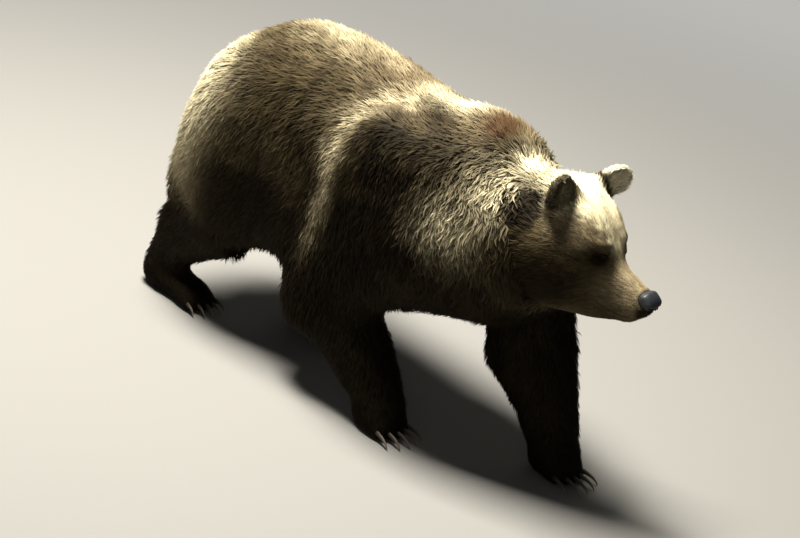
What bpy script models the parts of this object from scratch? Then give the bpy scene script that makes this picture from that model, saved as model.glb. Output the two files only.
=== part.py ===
"""Brown bear in mid-stride, as a life-size still model.

The bear walks towards +X, its left is +Y, up is +Z and the floor is z = 0. All sizes are in
metres and run out to the tips of the coat. The body is a set of named masses: smooth tubes
through a few stations, and ellipsoids. They are joined by a voxel remesh, drawn onto one
blended surface, thinned out, and parted with flat cuts a hair wide.
"""

import math
from dataclasses import dataclass, field

import bmesh
import bpy
import numpy as np
from mathutils import Euler, Matrix, Vector

# Driving dimensions of the whole animal
STANCE_HALF_WIDTH = 0.165  # middle of a paw from the middle of the body
GAP = 0.0004  # width of every parting cut
WELD = 0.00002  # points closer than this become one

# The head's place: where its centre, between the ears' roots, lies and how it is turned
HEAD_AT = Vector((0.722, 0.038, 0.758))
HEAD_YAW = math.radians(6)
HEAD_PITCH = math.radians(11)
HEAD_ROLL = math.radians(7)

# The eyes, in the head's own frame
EYE_AT = Vector((0.112, 0.056, 0.020))
EYE_LOOK = Vector((0.62, 0.77, 0.12))
EYE_RADIUS = 0.012

# The ears, in the head's own frame: the root of the left one, and how far each leans out, nods
# forward and turns in. The right ear is pricked up and the left one is laid to the side.
EAR_AT = Vector((-0.058, 0.090, 0.088))
EAR_TURNS = {-1: (18, -7, 0), 1: (56, 24, 36)}  # degrees
EAR_OUT = Vector((-0.10, 0.62, 0.78))  # the way the skull faces there
EAR_CUT = 0.016  # from the root out to the parting cut

# Parting cuts: a point, the way the cut faces, half the cutter's width and its depth. The head's
# is in the head's own frame.
HEAD_CUT = (Vector((-0.100, 0, 0)), Vector((1, 0, 0.72)), 0.32, 0.6)
NECK_CUT = (Vector((0.50, 0, 0.80)), Vector((1, 0, 0.12)), 0.34, 0.8)
TAIL_CUT = (Vector((-0.632, 0, 0.66)), Vector((-1, 0, -0.15)), 0.12, 0.2)
NOSE_CUT = (Vector((0.259, 0, -0.038)), Vector((1, 0, 0)), 0.034, 0.1)

# How far the square sleeves that part the legs off reach past them, to the side and in depth
LOWER_SLEEVE = (0.045, 0.04)
UPPER_SLEEVES = {"forearm": (0.045, 0.035), "shank": (0.045, 0.125)}

# Voxels and triangles of each region
BODY_VOXEL, BODY_TRIANGLES = 0.016, 2600
HEAD_VOXEL, HEAD_TRIANGLES = 0.0065, 1900
PAW_VOXEL, PAW_TRIANGLES = 0.007, 320

COLOURS = {
    "coat": ((0.16, 0.105, 0.06, 1.0), 0.8),
    "dark_coat": ((0.035, 0.022, 0.015, 1.0), 0.8),
    "face_coat": ((0.24, 0.17, 0.10, 1.0), 0.75),
    "nose_leather": ((0.02, 0.018, 0.018, 1.0), 0.35),
    "eye": ((0.03, 0.015, 0.008, 1.0), 0.05),
    "claw": ((0.10, 0.075, 0.05, 1.0), 0.4),
}


# ---------------------------------------------------------------- masses and their surface


@dataclass
class Mass:
    """A smooth tube through stations, each (x, y, z, half width, half depth).

    side is the direction that half width is measured along, blend how wide its joins with other
    masses are, and hollow says that it is taken away. steps are the samples from one station
    to the next.
    """

    stations: list
    blend: float = 0.05
    side: Vector = field(default_factory=lambda: Vector((0, 1, 0)))
    hollow: bool = False
    steps: int = 4

    def samples(self):
        """The stations with smooth in-between ones, as rows of five numbers."""
        rows = np.array(self.stations, float)
        padded = np.vstack([2 * rows[0] - rows[1], rows, 2 * rows[-1] - rows[-2]])
        found = []
        for a, b, c, d in zip(padded, padded[1:], padded[2:], padded[3:]):
            for t in np.arange(self.steps) / self.steps:
                slope_b, slope_c = (c - a) / 2, (d - b) / 2
                rise = t * t * (3 - 2 * t)
                found.append(
                    b + (c - b) * rise
                    + slope_b * (t - 2 * t**2 + t**3)
                    + slope_c * (t**3 - t**2)
                )
        return np.array([*found, rows[-1]])

    def frames(self):
        """The samples, and along, side and depth directions at each."""
        rows = self.samples()
        result = []
        for along in np.gradient(rows[:, :3], axis=0):
            forward = Vector(along).normalized()
            across = (self.side - forward * self.side.dot(forward)).normalized()
            result.append((forward, across, forward.cross(across)))
        return rows, result

    def distance(self, points):
        """About how far each point is outside the mass, negative inside."""
        rows, frames = self.frames()
        best = np.full(len(points), np.inf)
        for start, end, (_, across, deep) in zip(rows, rows[1:], frames):
            step = end - start
            line = step[:3]
            share = np.clip((points - start[:3]) @ line / (line @ line), 0, 1)
            off = points - start[:3] - share[:, None] * line
            wide = start[3] + share * step[3]
            thick = start[4] + share * step[4]
            unit = line / np.linalg.norm(line)
            s, d, a = off @ np.array(across), off @ np.array(deep), off @ unit
            size = np.sqrt(s * s + d * d + a * a) + 1e-9
            ratio = np.sqrt((s / wide) ** 2 + (d / thick) ** 2 + (a / np.minimum(wide, thick)) ** 2)
            best = np.minimum(best, size * (1 - 1 / np.maximum(ratio, 1e-6)))
        return best

    def box(self, margin):
        """Lowest and highest corner, with a margin."""
        rows = self.samples()
        reach = rows[:, 3:].max(axis=1)[:, None]
        return (rows[:, :3] - reach).min(0) - margin, (rows[:, :3] + reach).max(0) + margin

    def add_to(self, shape):
        """Adds balls along the mass to a bmesh, for the remesh to join."""
        for row, (forward, across, deep) in zip(*self.frames()):
            turn = Matrix((forward, across, deep)).transposed().to_4x4()
            size = Matrix.Diagonal((min(row[3], row[4]), row[3], row[4], 1))
            place = Matrix.Translation(row[:3]) @ turn @ size
            bmesh.ops.create_icosphere(shape, subdivisions=2, radius=1, matrix=place)


@dataclass
class Ball(Mass):
    """An ellipsoid with its own turn: stations holds one row and sizes its three half sizes."""

    sizes: tuple = (0.1, 0.1, 0.1)
    turn: Matrix = field(default_factory=lambda: Matrix.Identity(3))

    def distance(self, points):
        off = (points - np.array(self.stations[0][:3])) @ np.array(self.turn)
        ratio = np.linalg.norm(off / np.array(self.sizes), axis=1)
        return (np.linalg.norm(off, axis=1) + 1e-9) * (1 - 1 / np.maximum(ratio, 1e-6))

    def box(self, margin):
        centre = np.array(self.stations[0][:3])
        reach = max(self.sizes) + margin
        return centre - reach, centre + reach

    def add_to(self, shape):
        place = Matrix.Translation(self.stations[0][:3]) @ self.turn.to_4x4()
        place = place @ Matrix.Diagonal((*self.sizes, 1))
        bmesh.ops.create_icosphere(shape, subdivisions=3, radius=1, matrix=place)


def ball(at, sizes, blend=0.05, turn=(0, 0, 0), hollow=False):
    """An ellipsoid at a point, turned by angles in degrees."""
    angles = [math.radians(a) for a in turn]
    return Ball([(*at, 0, 0)], blend, hollow=hollow, sizes=sizes, turn=Euler(angles).to_matrix())


def placed(mass, place):
    """The mass moved by a matrix."""
    mass.stations = [(*(place @ Vector(row[:3])), *row[3:]) for row in mass.stations]
    mass.side = place.to_3x3() @ mass.side
    if isinstance(mass, Ball):
        mass.turn = place.to_3x3() @ mass.turn
    return mass


def surface_distance(points, masses):
    """Distance of points from the blended surface of all masses, about, if they are near it."""
    far, margin = 1.0, 0.05
    found = np.full(len(points), far)
    for mass in masses:
        low, high = mass.box(mass.blend + margin)
        near = np.flatnonzero(((points > low) & (points < high)).all(axis=1))
        if not len(near):
            continue
        here, new = found[near], mass.distance(points[near])
        if mass.hollow:
            here = -here
        mix = np.maximum(mass.blend - np.abs(here - new), 0) / mass.blend
        joined = np.minimum(here, new) - mix * mix * mass.blend / 4
        found[near] = -joined if mass.hollow else joined
    return found


def settle(mesh, masses, rounds=4):
    """Draws a mesh's vertices onto the blended surface, in short steps."""
    nudge, least_slope, longest_step = 0.0015, 0.5, 0.02
    points = np.empty(len(mesh.vertices) * 3, np.float32)
    mesh.vertices.foreach_get("co", points)
    points = points.reshape(-1, 3).astype(float)
    for _ in range(rounds):
        here = surface_distance(points, masses)
        slope = np.stack(
            [surface_distance(points + nudge * axis, masses) - here for axis in np.eye(3)], axis=1
        ) / nudge
        steep = np.maximum((slope**2).sum(axis=1), least_slope**2)
        move = slope * (here / steep)[:, None]
        length = np.maximum(np.linalg.norm(move, axis=1)[:, None], longest_step)
        points -= move * longest_step / length
    mesh.vertices.foreach_set("co", points.astype(np.float32).ravel())
    mesh.update()


# ---------------------------------------------------------------- the bear's own masses


def trunk_masses():
    """Trunk from the croup to the shoulders, with haunches, flanks, shoulder blades and hump.

    The right shoulder blade lies further back than the left, since its leg pushes off.
    """
    masses = [
        Mass(
            [
                (-0.50, 0, 0.65, 0.19, 0.24),
                (-0.34, 0, 0.635, 0.265, 0.335),
                (-0.12, 0.018, 0.630, 0.275, 0.340),
                (0.06, 0.020, 0.630, 0.262, 0.320),
                (0.33, 0.006, 0.648, 0.238, 0.295),
                (0.48, 0, 0.650, 0.20, 0.26),
            ],
            blend=0.06,
        ),
        ball((0.36, 0, 0.835), (0.17, 0.13, 0.145), 0.07),
        ball((-0.46, -0.135, 0.565), (0.19, 0.15, 0.30), 0.08),
        ball((-0.43, 0.135, 0.60), (0.20, 0.15, 0.27), 0.08),
        ball((0.160, -0.176, 0.645), (0.192, 0.122, 0.268), 0.045),
        ball((0.33, -0.150, 0.65), (0.16, 0.115, 0.25), 0.08, (0, -14, 0)),
        ball((0.28, 0.175, 0.63), (0.185, 0.120, 0.275), 0.04, (0, -10, 0)),
    ]
    for side in (-1, 1):
        masses.append(ball((-0.12, 0.125 * side, 0.46), (0.27, 0.125, 0.165), 0.07))
    return masses


def neck_masses():
    """Neck with its ruff, from the shoulders to the back of the skull."""
    skull = HEAD_AT + Vector((-0.05, 0, 0.0))
    return [
        Mass(
            [
                (0.40, 0, 0.65, 0.20, 0.24),
                (0.55, 0.006, 0.664, 0.176, 0.192),
                (0.65, 0.014, 0.700, 0.150, 0.158),
                (skull.x + 0.02, skull.y, skull.z, 0.135, 0.13),
            ],
            blend=0.08,
        )
    ]


def head_place():
    """Matrix from the head's own frame (x to the nose, y left, z up) to the bear's."""
    turn = Euler((HEAD_ROLL, HEAD_PITCH, HEAD_YAW), "XYZ").to_matrix().to_4x4()
    return Matrix.Translation(HEAD_AT) @ turn


def head_masses():
    """Skull, brows, cheeks, muzzle, jaw and nose, in the head's own frame, then placed."""
    masses = [
        ball((-0.028, 0, 0.002), (0.128, 0.105, 0.110), 0.05),
        ball((-0.080, 0, 0.066), (0.080, 0.085, 0.078), 0.05),
        Mass(
            [
                (0.05, 0, -0.030, 0.062, 0.078),
                (0.13, 0, -0.054, 0.048, 0.060),
                (0.20, 0, -0.060, 0.045, 0.052),
                (0.240, 0, -0.063, 0.040, 0.045),
            ],
            blend=0.04,
        ),
        Mass(
            [
                (-0.02, 0, -0.160, 0.085, 0.072),
                (0.08, 0, -0.152, 0.062, 0.058),
                (0.20, 0, -0.116, 0.037, 0.030),
            ],
            blend=0.055,
        ),
        ball((0.263, 0, -0.038), (0.022, 0.034, 0.026), 0.014),
    ]
    for side in (-1, 1):
        masses += [
            ball((-0.035, 0.072 * side, -0.064), (0.112, 0.074, 0.104), 0.05),
            ball((0.056, 0.036 * side, 0.024), (0.050, 0.030, 0.028), 0.03, (0, 22, -12 * side)),
            ball((0.112, 0.068 * side, 0.018), (0.022, 0.014, 0.016), 0.02, hollow=True),
        ]
    return [placed(mass, head_place()) for mass in masses]


def ear_place(side):
    """Matrix from an ear's own frame (x to its open front, z to its tip) to the bear's."""
    lean, nod, toe = (math.radians(angle) for angle in EAR_TURNS[side])
    turn = Euler((-lean * side, nod, 0), "XYZ").to_matrix() @ Matrix.Rotation(-toe * side, 3, "Z")
    at = Vector((EAR_AT.x, EAR_AT.y * side, EAR_AT.z))
    return head_place() @ Matrix.Translation(at) @ turn.to_4x4()


def ear_masses(side):
    """A round, thick ear with a hollow front."""
    masses = [
        ball((0, 0, 0.045), (0.03, 0.055, 0.062), 0.02),
        ball((0.032, 0, 0.052), (0.026, 0.037, 0.044), 0.014, hollow=True),
    ]
    return [placed(mass, ear_place(side)) for mass in masses]


def tail_masses():
    """The short tail, hanging close to the rump."""
    stations = [
        (-0.60, 0, 0.70, 0.05, 0.045),
        (-0.655, 0, 0.65, 0.045, 0.04),
        (-0.67, 0, 0.585, 0.03, 0.028),
    ]
    return [Mass(stations, blend=0.03)]


@dataclass(frozen=True)
class Paw:
    """The sizes of a paw: its reach ahead of the ankle, its heel, and its toes and claws."""

    length: float
    half_width: float
    heel: float
    top: float
    toe_radius: float
    claw_length: float
    claw_radius: float


FRONT_PAW = Paw(0.120, 0.074, 0.02, 0.100, 0.0225, 0.054, 0.0085)
HIND_PAW = Paw(0.195, 0.066, -0.035, 0.085, 0.0205, 0.036, 0.0075)


@dataclass(frozen=True)
class Leg:
    """One leg: its joints as (x, z), its side, and the names of its upper and lower part."""

    name: str
    joints: tuple
    side: int
    paw: Paw
    upper: str
    lower: str

    @property
    def y(self):
        """The middle of the paw from the middle of the body."""
        return STANCE_HALF_WIDTH * self.side

    def stations(self):
        """Stations from the shoulder or hip to the foot; the third lies at elbow or knee."""
        (sx, sz), (ex, ez), (wx, wz) = self.joints
        side, y = self.side, self.y
        if self.lower == "forearm":
            return [
                (sx, 0.155 * side, sz, 0.12, 0.15),
                ((sx + ex) / 2, 0.165 * side, (sz + ez) / 2, 0.115, 0.15),
                (ex + 0.02, 0.17 * side, ez, 0.112, 0.145),
                ((ex + wx) / 2 + 0.015, y, (ez + wz) / 2, 0.098, 0.120),
                (wx + 0.01, y, wz, 0.080, 0.084),
                (wx + 0.03, y, 0.06, 0.074, 0.07),
            ]
        return [
            (sx, 0.14 * side, sz, 0.13, 0.19),
            ((sx + ex) / 2, 0.16 * side, (sz + ez) / 2, 0.125, 0.185),
            (ex - 0.01, 0.17 * side, ez, 0.108, 0.145),
            ((ex + wx) / 2, y, (ez + wz) / 2, 0.085, 0.105),
            (wx, y, wz, 0.066, 0.072),
            (wx + 0.005, y, 0.055, 0.058, 0.062),
        ]

    def masses(self):
        """The leg down to the wrist or ankle, with the fur behind its elbow or its hamstring."""
        found = [Mass(self.stations(), blend=0.07)]
        (hip_x, hip_z), (x, z), (hock_x, hock_z) = self.joints
        if self.lower == "forearm":
            found.append(ball((x + 0.005, self.y, z - 0.07), (0.115, 0.085, 0.10), 0.07))
        else:
            top = (hip_x - 0.14, self.y - 0.02 * self.side, hip_z - 0.04, 0.08, 0.08)
            end = (hock_x - 0.012, self.y, hock_z + 0.13, 0.055, 0.055)
            middle = ((top[0] + end[0]) / 2 - 0.012, self.y, (top[2] + end[2]) / 2, 0.072, 0.075)
            found.append(Mass([top, middle, end], blend=0.07))
        return found

    def toes(self):
        """Each toe's root, tip and direction, right to left."""
        rows = []
        for i in range(5):
            across = (i - 2) / 2
            arc = self.paw.length - 0.022 * across * across
            y = self.y + across * self.paw.half_width * 0.72
            root = Vector((self.joints[2][0] + arc - 0.035, y, 0.027))
            angle = math.radians(11) * across
            ahead = Vector((math.cos(angle), math.sin(angle), 0))
            rows.append((root, root + ahead * 0.040 - Vector((0, 0, 0.010)), ahead))
        return rows

    def paw_masses(self):
        """Sole, instep and five toes."""
        paw, x, y = self.paw, self.joints[2][0], self.y
        radius, width = paw.toe_radius, paw.half_width
        masses = [
            Mass(
                [
                    (x + paw.heel, y, 0.036, width * 0.80, 0.042),
                    (x + paw.length * 0.55, y, 0.040, width * 0.98, 0.046),
                    (x + paw.length - 0.035, y, 0.034, width * 0.92, 0.038),
                ],
                blend=0.04,
            )
        ]
        for root, tip, _ in self.toes():
            masses.append(Mass([(*root, radius, radius), (*tip, radius * 0.9, radius * 0.9)], 0.010))
        return masses


LEGS = (
    Leg("front_right", ((0.34, 0.58), (0.02, 0.335), (0.30, 0.115)), -1, FRONT_PAW, "upper_arm", "forearm"),
    Leg("front_left", ((0.46, 0.62), (0.53, 0.36), (0.705, 0.115)), 1, FRONT_PAW, "upper_arm", "forearm"),
    Leg("hind_right", ((-0.42, 0.60), (-0.37, 0.37), (-0.62, 0.13)), -1, HIND_PAW, "thigh", "shank"),
    Leg("hind_left", ((-0.38, 0.62), (-0.17, 0.40), (-0.25, 0.13)), 1, HIND_PAW, "thigh", "shank"),
)


# ---------------------------------------------------------------- solids


def new_object(name, mesh):
    """An object in the scene."""
    made = bpy.data.objects.new(name, mesh)
    bpy.context.scene.collection.objects.link(made)
    return made


def settled_modifiers(made):
    """The object's evaluated mesh takes the place of its modifiers."""
    graph = bpy.context.evaluated_depsgraph_get()
    graph.update()
    mesh = bpy.data.meshes.new_from_object(made.evaluated_get(graph))
    made.modifiers.clear()
    made.data = mesh
    return made


def blended_solid(name, shown, masses, voxel, triangles):
    """One closed mesh around the shown masses, lying on the blended surface of all masses."""
    shape = bmesh.new()
    for mass in shown:
        if not mass.hollow:
            mass.add_to(shape)
    mesh = bpy.data.meshes.new(name)
    shape.to_mesh(mesh)
    shape.free()
    made = new_object(name, mesh)
    remesh = made.modifiers.new("Join", "REMESH")
    remesh.mode = "VOXEL"
    remesh.voxel_size = voxel
    settled_modifiers(made)
    settle(made.data, masses)
    thin = made.modifiers.new("Thin", "DECIMATE")
    thin.ratio = triangles / sum(len(p.vertices) - 2 for p in made.data.polygons)
    thin.use_collapse_triangulate = True
    return settled_modifiers(made)


def tidy(made):
    """Leaves one clean closed shell: the largest, without slivers, facing outward."""
    shape = bmesh.new()
    shape.from_mesh(made.data)
    bmesh.ops.remove_doubles(shape, verts=shape.verts, dist=WELD)
    bmesh.ops.dissolve_degenerate(shape, edges=shape.edges, dist=WELD)
    shape.faces.ensure_lookup_table()
    seen, shells = set(), []
    for face in shape.faces:
        if face in seen:
            continue
        shell, queue = [], [face]
        seen.add(face)
        while queue:
            here = queue.pop()
            shell.append(here)
            for edge in here.edges:
                for other in edge.link_faces:
                    if other not in seen:
                        seen.add(other)
                        queue.append(other)
        shells.append(shell)
    shells.sort(key=lambda shell: sum(face.calc_area() for face in shell))
    loose = [face for shell in shells[:-1] for face in shell]
    bmesh.ops.delete(shape, geom=loose, context="FACES")
    bmesh.ops.recalc_face_normals(shape, faces=shape.faces)
    shape.to_mesh(made.data)
    shape.free()
    return made


def cutter(shape):
    """A hidden object for a Boolean, from a bmesh."""
    mesh = bpy.data.meshes.new("cutter")
    shape.to_mesh(mesh)
    shape.free()
    made = new_object("cutter", mesh)
    made.hide_render = True
    made.display_type = "WIRE"
    return made


def box_cutter(at, facing, reach, depth, grow=0.0):
    """A box that holds what lies beyond a point, along facing; grow moves its faces out."""
    shape = bmesh.new()
    size = Matrix.Diagonal((2 * (reach + grow), 2 * (reach + grow), depth + grow, 1))
    turn = facing.to_track_quat("Z", "Y").to_matrix().to_4x4()
    place = Matrix.Translation(at + facing.normalized() * (depth - grow) / 2) @ turn @ size
    bmesh.ops.create_cube(shape, size=1, matrix=place)
    return cutter(shape)


def loft(shape, rings):
    """Closes a stack of rings of points into one skin of triangles with two flat caps."""
    rows = [[shape.verts.new(point) for point in ring] for ring in rings]
    for low, high in zip(rows, rows[1:]):
        for k in range(len(low)):
            n = (k + 1) % len(low)
            shape.faces.new((low[k], low[n], high[n]))
            shape.faces.new((low[k], high[n], high[k]))
    shape.faces.new(reversed(rows[0]))
    shape.faces.new(rows[-1])
    bmesh.ops.recalc_face_normals(shape, faces=shape.faces)


def sleeve_cutter(stations, side_margin, depth_margin, grow=0.0):
    """A square tube around a stretch of a limb, flat at both ends; grow moves its skin out."""
    rows, frames = Mass(stations, steps=2).frames()
    last, rings = len(rows) - 1, []
    for i, (row, (forward, across, deep)) in enumerate(zip(rows, frames)):
        shift = -grow if i == 0 else grow if i == last else 0
        centre = Vector(row[:3]) + forward * shift
        wide = across * (row[3] + side_margin + grow)
        thick = deep * (row[4] + depth_margin + grow)
        rings.append([centre + wide * u + thick * v for u, v in ((1, 1), (-1, 1), (-1, -1), (1, -1))])
    shape = bmesh.new()
    loft(shape, rings)
    return cutter(shape)


def ball_cutter(at, radius, grow=0.0):
    """A sphere of 80 triangles."""
    shape = bmesh.new()
    place = Matrix.Translation(at)
    bmesh.ops.create_icosphere(shape, subdivisions=2, radius=radius + grow, matrix=place)
    return cutter(shape)


def combine(made, other, operation):
    """Applies one Boolean to an object and removes the cutter."""
    boolean = made.modifiers.new("Cut", "BOOLEAN")
    boolean.operation = operation
    boolean.object = other
    settled_modifiers(made)
    bpy.data.objects.remove(other)
    return made


def part_off(made, name, build, *sizes):
    """Parts off what lies inside a cutter as a new object, with a hair's gap between the two."""
    piece = new_object(name, made.data.copy())
    combine(piece, build(*sizes), "INTERSECT")
    combine(made, build(*sizes, GAP), "DIFFERENCE")
    tidy(made)
    return tidy(piece)


def flat_soles(made):
    """Cuts a paw off level with the floor."""
    shape = bmesh.new()
    shape.from_mesh(made.data)
    faces = [*shape.verts, *shape.edges, *shape.faces]
    cut = bmesh.ops.bisect_plane(
        shape, geom=faces, plane_co=(0, 0, 0), plane_no=(0, 0, 1), clear_inner=True
    )
    rim = [edge for edge in cut["geom_cut"] if isinstance(edge, bmesh.types.BMEdge)]
    bmesh.ops.holes_fill(shape, edges=rim)
    shape.to_mesh(made.data)
    shape.free()
    return tidy(made)


def claw_cutter(leg, tip, ahead, grow=0.0):
    """A curved claw that grows from a toe's tip down to just above the floor."""
    paw, rings, corners = leg.paw, 5, 6
    height, clearance, sweep = 0.007, 0.0035, math.radians(80)
    taper, flatness, lag = 0.80, 0.72, 0.7
    side = Vector((-ahead.y, ahead.x, 0))
    root = tip + ahead * (paw.toe_radius * 0.35) + Vector((0, 0, height))
    drop = root.z - clearance
    stack = []
    for i in range(rings):
        t = i / (rings - 1)
        bend = t * sweep
        run = paw.claw_length * math.sin(bend) / math.sin(sweep)
        fall = drop * (1 - math.cos(bend)) / (1 - math.cos(sweep))
        along = ahead * math.cos(bend * lag) - Vector((0, 0, math.sin(bend * lag)))
        centre = root + ahead * run - Vector((0, 0, fall))
        if i == 0:
            centre -= along * grow
        up = along.cross(side)
        radius = paw.claw_radius * (1 - taper * t) + grow
        wide, tall = side * radius * flatness, up * radius
        angles = [2 * math.pi * k / corners for k in range(corners)]
        stack.append([centre + wide * math.cos(a) + tall * math.sin(a) for a in angles])
    shape = bmesh.new()
    loft(shape, stack)
    return cutter(shape)


def shown_as(made, name, slot):
    """Names an object, shows it and gives it its material."""
    made.name = made.data.name = name
    made.hide_render = False
    made.data.materials.clear()
    made.data.materials.append(material(slot))
    return made


def material(name):
    """A Principled material from the table of colours."""
    colour, roughness = COLOURS[name]
    made = bpy.data.materials.get(name) or bpy.data.materials.new(name)
    made.use_nodes = True
    shader = made.node_tree.nodes["Principled BSDF"]
    shader.inputs["Base Color"].default_value = colour
    shader.inputs["Roughness"].default_value = roughness
    return made


# ---------------------------------------------------------------- the bear's pieces


def leg_pieces(body, leg, masses):
    """Parts a leg off the body: upper part, lower part, paw and claws."""
    rows = leg.stations()
    start = tuple(0.65 * a + 0.35 * b for a, b in zip(rows[0], rows[1]))
    elbow = tuple(0.75 * a + 0.25 * b for a, b in zip(rows[2], rows[3]))
    floor = (rows[5][0], rows[5][1], 0.03, rows[5][3], rows[5][4])
    lower = part_off(body, "lower", sleeve_cutter, [elbow, *rows[3:], floor], *LOWER_SLEEVE)
    beyond = tuple(1.8 * b - 0.8 * a for a, b in zip(rows[1], rows[2]))
    stretch = [start, rows[1], rows[2], beyond]
    upper = part_off(body, "upper", sleeve_cutter, stretch, *UPPER_SLEEVES[leg.lower])
    at, down = Vector((rows[4][0], leg.y, leg.paw.top)), Vector((0, 0, -1))
    combine(lower, box_cutter(at, down, 0.4, 0.3, GAP), "DIFFERENCE")
    ankle = Mass(rows[3:])
    paw = blended_solid("paw", [ankle, *leg.paw_masses()], masses, PAW_VOXEL, PAW_TRIANGLES)
    combine(paw, box_cutter(at, down, 0.4, 0.3), "INTERSECT")
    flat_soles(paw)
    for number, (_, tip, ahead) in enumerate(leg.toes(), 1):
        combine(paw, claw_cutter(leg, tip, ahead, GAP), "DIFFERENCE")
        claw = tidy(claw_cutter(leg, tip, ahead))
        shown_as(claw, f"{leg.name}_claw_{number}", "claw")
    shown_as(upper, f"{leg.name}_{leg.upper}", "dark_coat")
    shown_as(tidy(lower), f"{leg.name}_{leg.lower}", "dark_coat")
    shown_as(tidy(paw), f"{leg.name}_paw", "dark_coat")


def on_head(cut):
    """A cut of the head's own frame, in the bear's."""
    at, facing, reach, depth = cut
    place = head_place()
    return place @ at, place.to_3x3() @ facing, reach, depth


def head_pieces(masses, shown):
    """Head with ears, nose and eyes of its own, kept ahead of the neck's cut."""
    place = head_place()
    turn = place.to_3x3()
    head = blended_solid("head", shown, masses, HEAD_VOXEL, HEAD_TRIANGLES)
    combine(head, box_cutter(*on_head(HEAD_CUT)), "INTERSECT")
    for side, name in ((-1, "right"), (1, "left")):
        out = turn @ Vector((EAR_OUT.x, EAR_OUT.y * side, EAR_OUT.z)).normalized()
        at = ear_place(side).to_translation() + out * EAR_CUT
        ear = part_off(head, "ear", box_cutter, at, out, 0.085, 0.16)
        shown_as(ear, f"ear_{name}", "coat")
    nose = part_off(head, "nose", box_cutter, *on_head(NOSE_CUT))
    shown_as(nose, "nose", "nose_leather")
    for side, name in ((-1, "right"), (1, "left")):
        flip = Matrix.Diagonal((1, side, 1))
        look = turn @ (flip @ EYE_LOOK).normalized()
        at = place @ (flip @ EYE_AT)
        steps = np.arange(-0.03, 0.03, 0.001)
        line = np.array(at) + steps[:, None] * np.array(look)
        inside = surface_distance(line, masses) < 0
        at += look * (steps[np.flatnonzero(inside)[-1]] - EYE_RADIUS / 2)
        combine(head, ball_cutter(at, EYE_RADIUS, GAP), "DIFFERENCE")
        shown_as(ball_cutter(at, EYE_RADIUS), f"eye_{name}", "eye")
    shown_as(tidy(head), "head", "face_coat")


def stand_on_origin():
    """Moves the bear so that the middle of its box stands on the origin."""
    pieces = [made for made in bpy.data.objects if made.type == "MESH"]
    corners = [vertex.co for made in pieces for vertex in made.data.vertices]
    low = [min(co[i] for co in corners) for i in range(3)]
    high = [max(co[i] for co in corners) for i in range(3)]
    shift = Vector((-(low[0] + high[0]) / 2, -(low[1] + high[1]) / 2, -low[2]))
    for made in pieces:
        made.data.transform(Matrix.Translation(shift))


def main():
    """Builds every piece of the bear."""
    for old in list(bpy.data.objects):
        bpy.data.objects.remove(old)
    neck = neck_masses()
    head = head_masses() + ear_masses(-1) + ear_masses(1)
    limbs = [mass for leg in LEGS for mass in leg.masses() + leg.paw_masses()]
    everything = trunk_masses() + neck + limbs + tail_masses() + head
    body = blended_solid("trunk", everything, everything, BODY_VOXEL, BODY_TRIANGLES)
    for leg in LEGS:
        leg_pieces(body, leg, everything)
    tail = part_off(body, "tail", box_cutter, *TAIL_CUT)
    front = part_off(body, "neck", box_cutter, *NECK_CUT)
    combine(front, box_cutter(*on_head(HEAD_CUT), GAP), "DIFFERENCE")
    head_pieces(everything, neck + head)
    shown_as(body, "trunk", "coat")
    shown_as(tail, "tail", "coat")
    shown_as(tidy(front), "neck", "coat")
    stand_on_origin()


if __name__ == "__main__":
    main()
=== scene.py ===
"""A life-size brown bear in mid-stride: skin, coat, face, eyes, nose and claws over its frame.

The bear walks towards +X, its left is +Y and up is +Z. One skin is drawn from the frame's
solids and lies inside them by the coat's depth. Tufts grow from the skin along the lie of the
coat and reach out to the solids' surface. Skin and tufts share one set of markings. Sizes are
in metres and colours in linear light.
"""

import logging
import math
from collections.abc import Iterator
from contextlib import contextmanager
from dataclasses import dataclass, field
from enum import Enum

import bmesh
import bpy
import numpy as np
from mathutils import Euler, Matrix, Vector
from mathutils.bvhtree import BVHTree


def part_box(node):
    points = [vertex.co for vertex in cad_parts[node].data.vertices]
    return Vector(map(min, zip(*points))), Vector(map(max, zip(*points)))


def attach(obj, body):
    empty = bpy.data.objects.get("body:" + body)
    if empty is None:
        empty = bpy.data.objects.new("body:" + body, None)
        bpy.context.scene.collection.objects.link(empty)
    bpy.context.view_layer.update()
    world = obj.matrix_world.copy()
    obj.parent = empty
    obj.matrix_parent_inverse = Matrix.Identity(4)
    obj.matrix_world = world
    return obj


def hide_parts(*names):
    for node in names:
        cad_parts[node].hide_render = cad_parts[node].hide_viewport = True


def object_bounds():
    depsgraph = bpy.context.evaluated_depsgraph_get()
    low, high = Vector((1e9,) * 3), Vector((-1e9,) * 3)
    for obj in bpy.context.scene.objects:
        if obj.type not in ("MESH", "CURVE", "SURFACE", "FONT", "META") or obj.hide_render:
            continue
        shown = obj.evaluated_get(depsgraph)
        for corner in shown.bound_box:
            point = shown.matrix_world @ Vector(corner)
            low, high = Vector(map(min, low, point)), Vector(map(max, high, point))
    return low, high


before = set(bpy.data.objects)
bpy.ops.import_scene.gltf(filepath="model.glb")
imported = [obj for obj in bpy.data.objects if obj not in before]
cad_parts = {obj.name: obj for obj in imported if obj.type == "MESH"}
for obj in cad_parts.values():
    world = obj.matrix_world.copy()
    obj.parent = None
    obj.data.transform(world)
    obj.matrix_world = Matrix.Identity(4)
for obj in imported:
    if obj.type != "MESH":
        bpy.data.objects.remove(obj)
CAD_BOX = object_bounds()

log = logging.getLogger("bear")
Array = np.ndarray

WAVE_COUNT = 7
WAVE_LENGTHS = (0.7, 1.5)
WAVE_HEIGHT = 3.2
SKIN_MAP = "OFBake"


# ---------------- small helpers


def unit(vectors: Array) -> Array:
    """Rows of vectors at length one."""
    return vectors / np.maximum(np.linalg.norm(vectors, axis=-1, keepdims=True), 1e-9)


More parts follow.
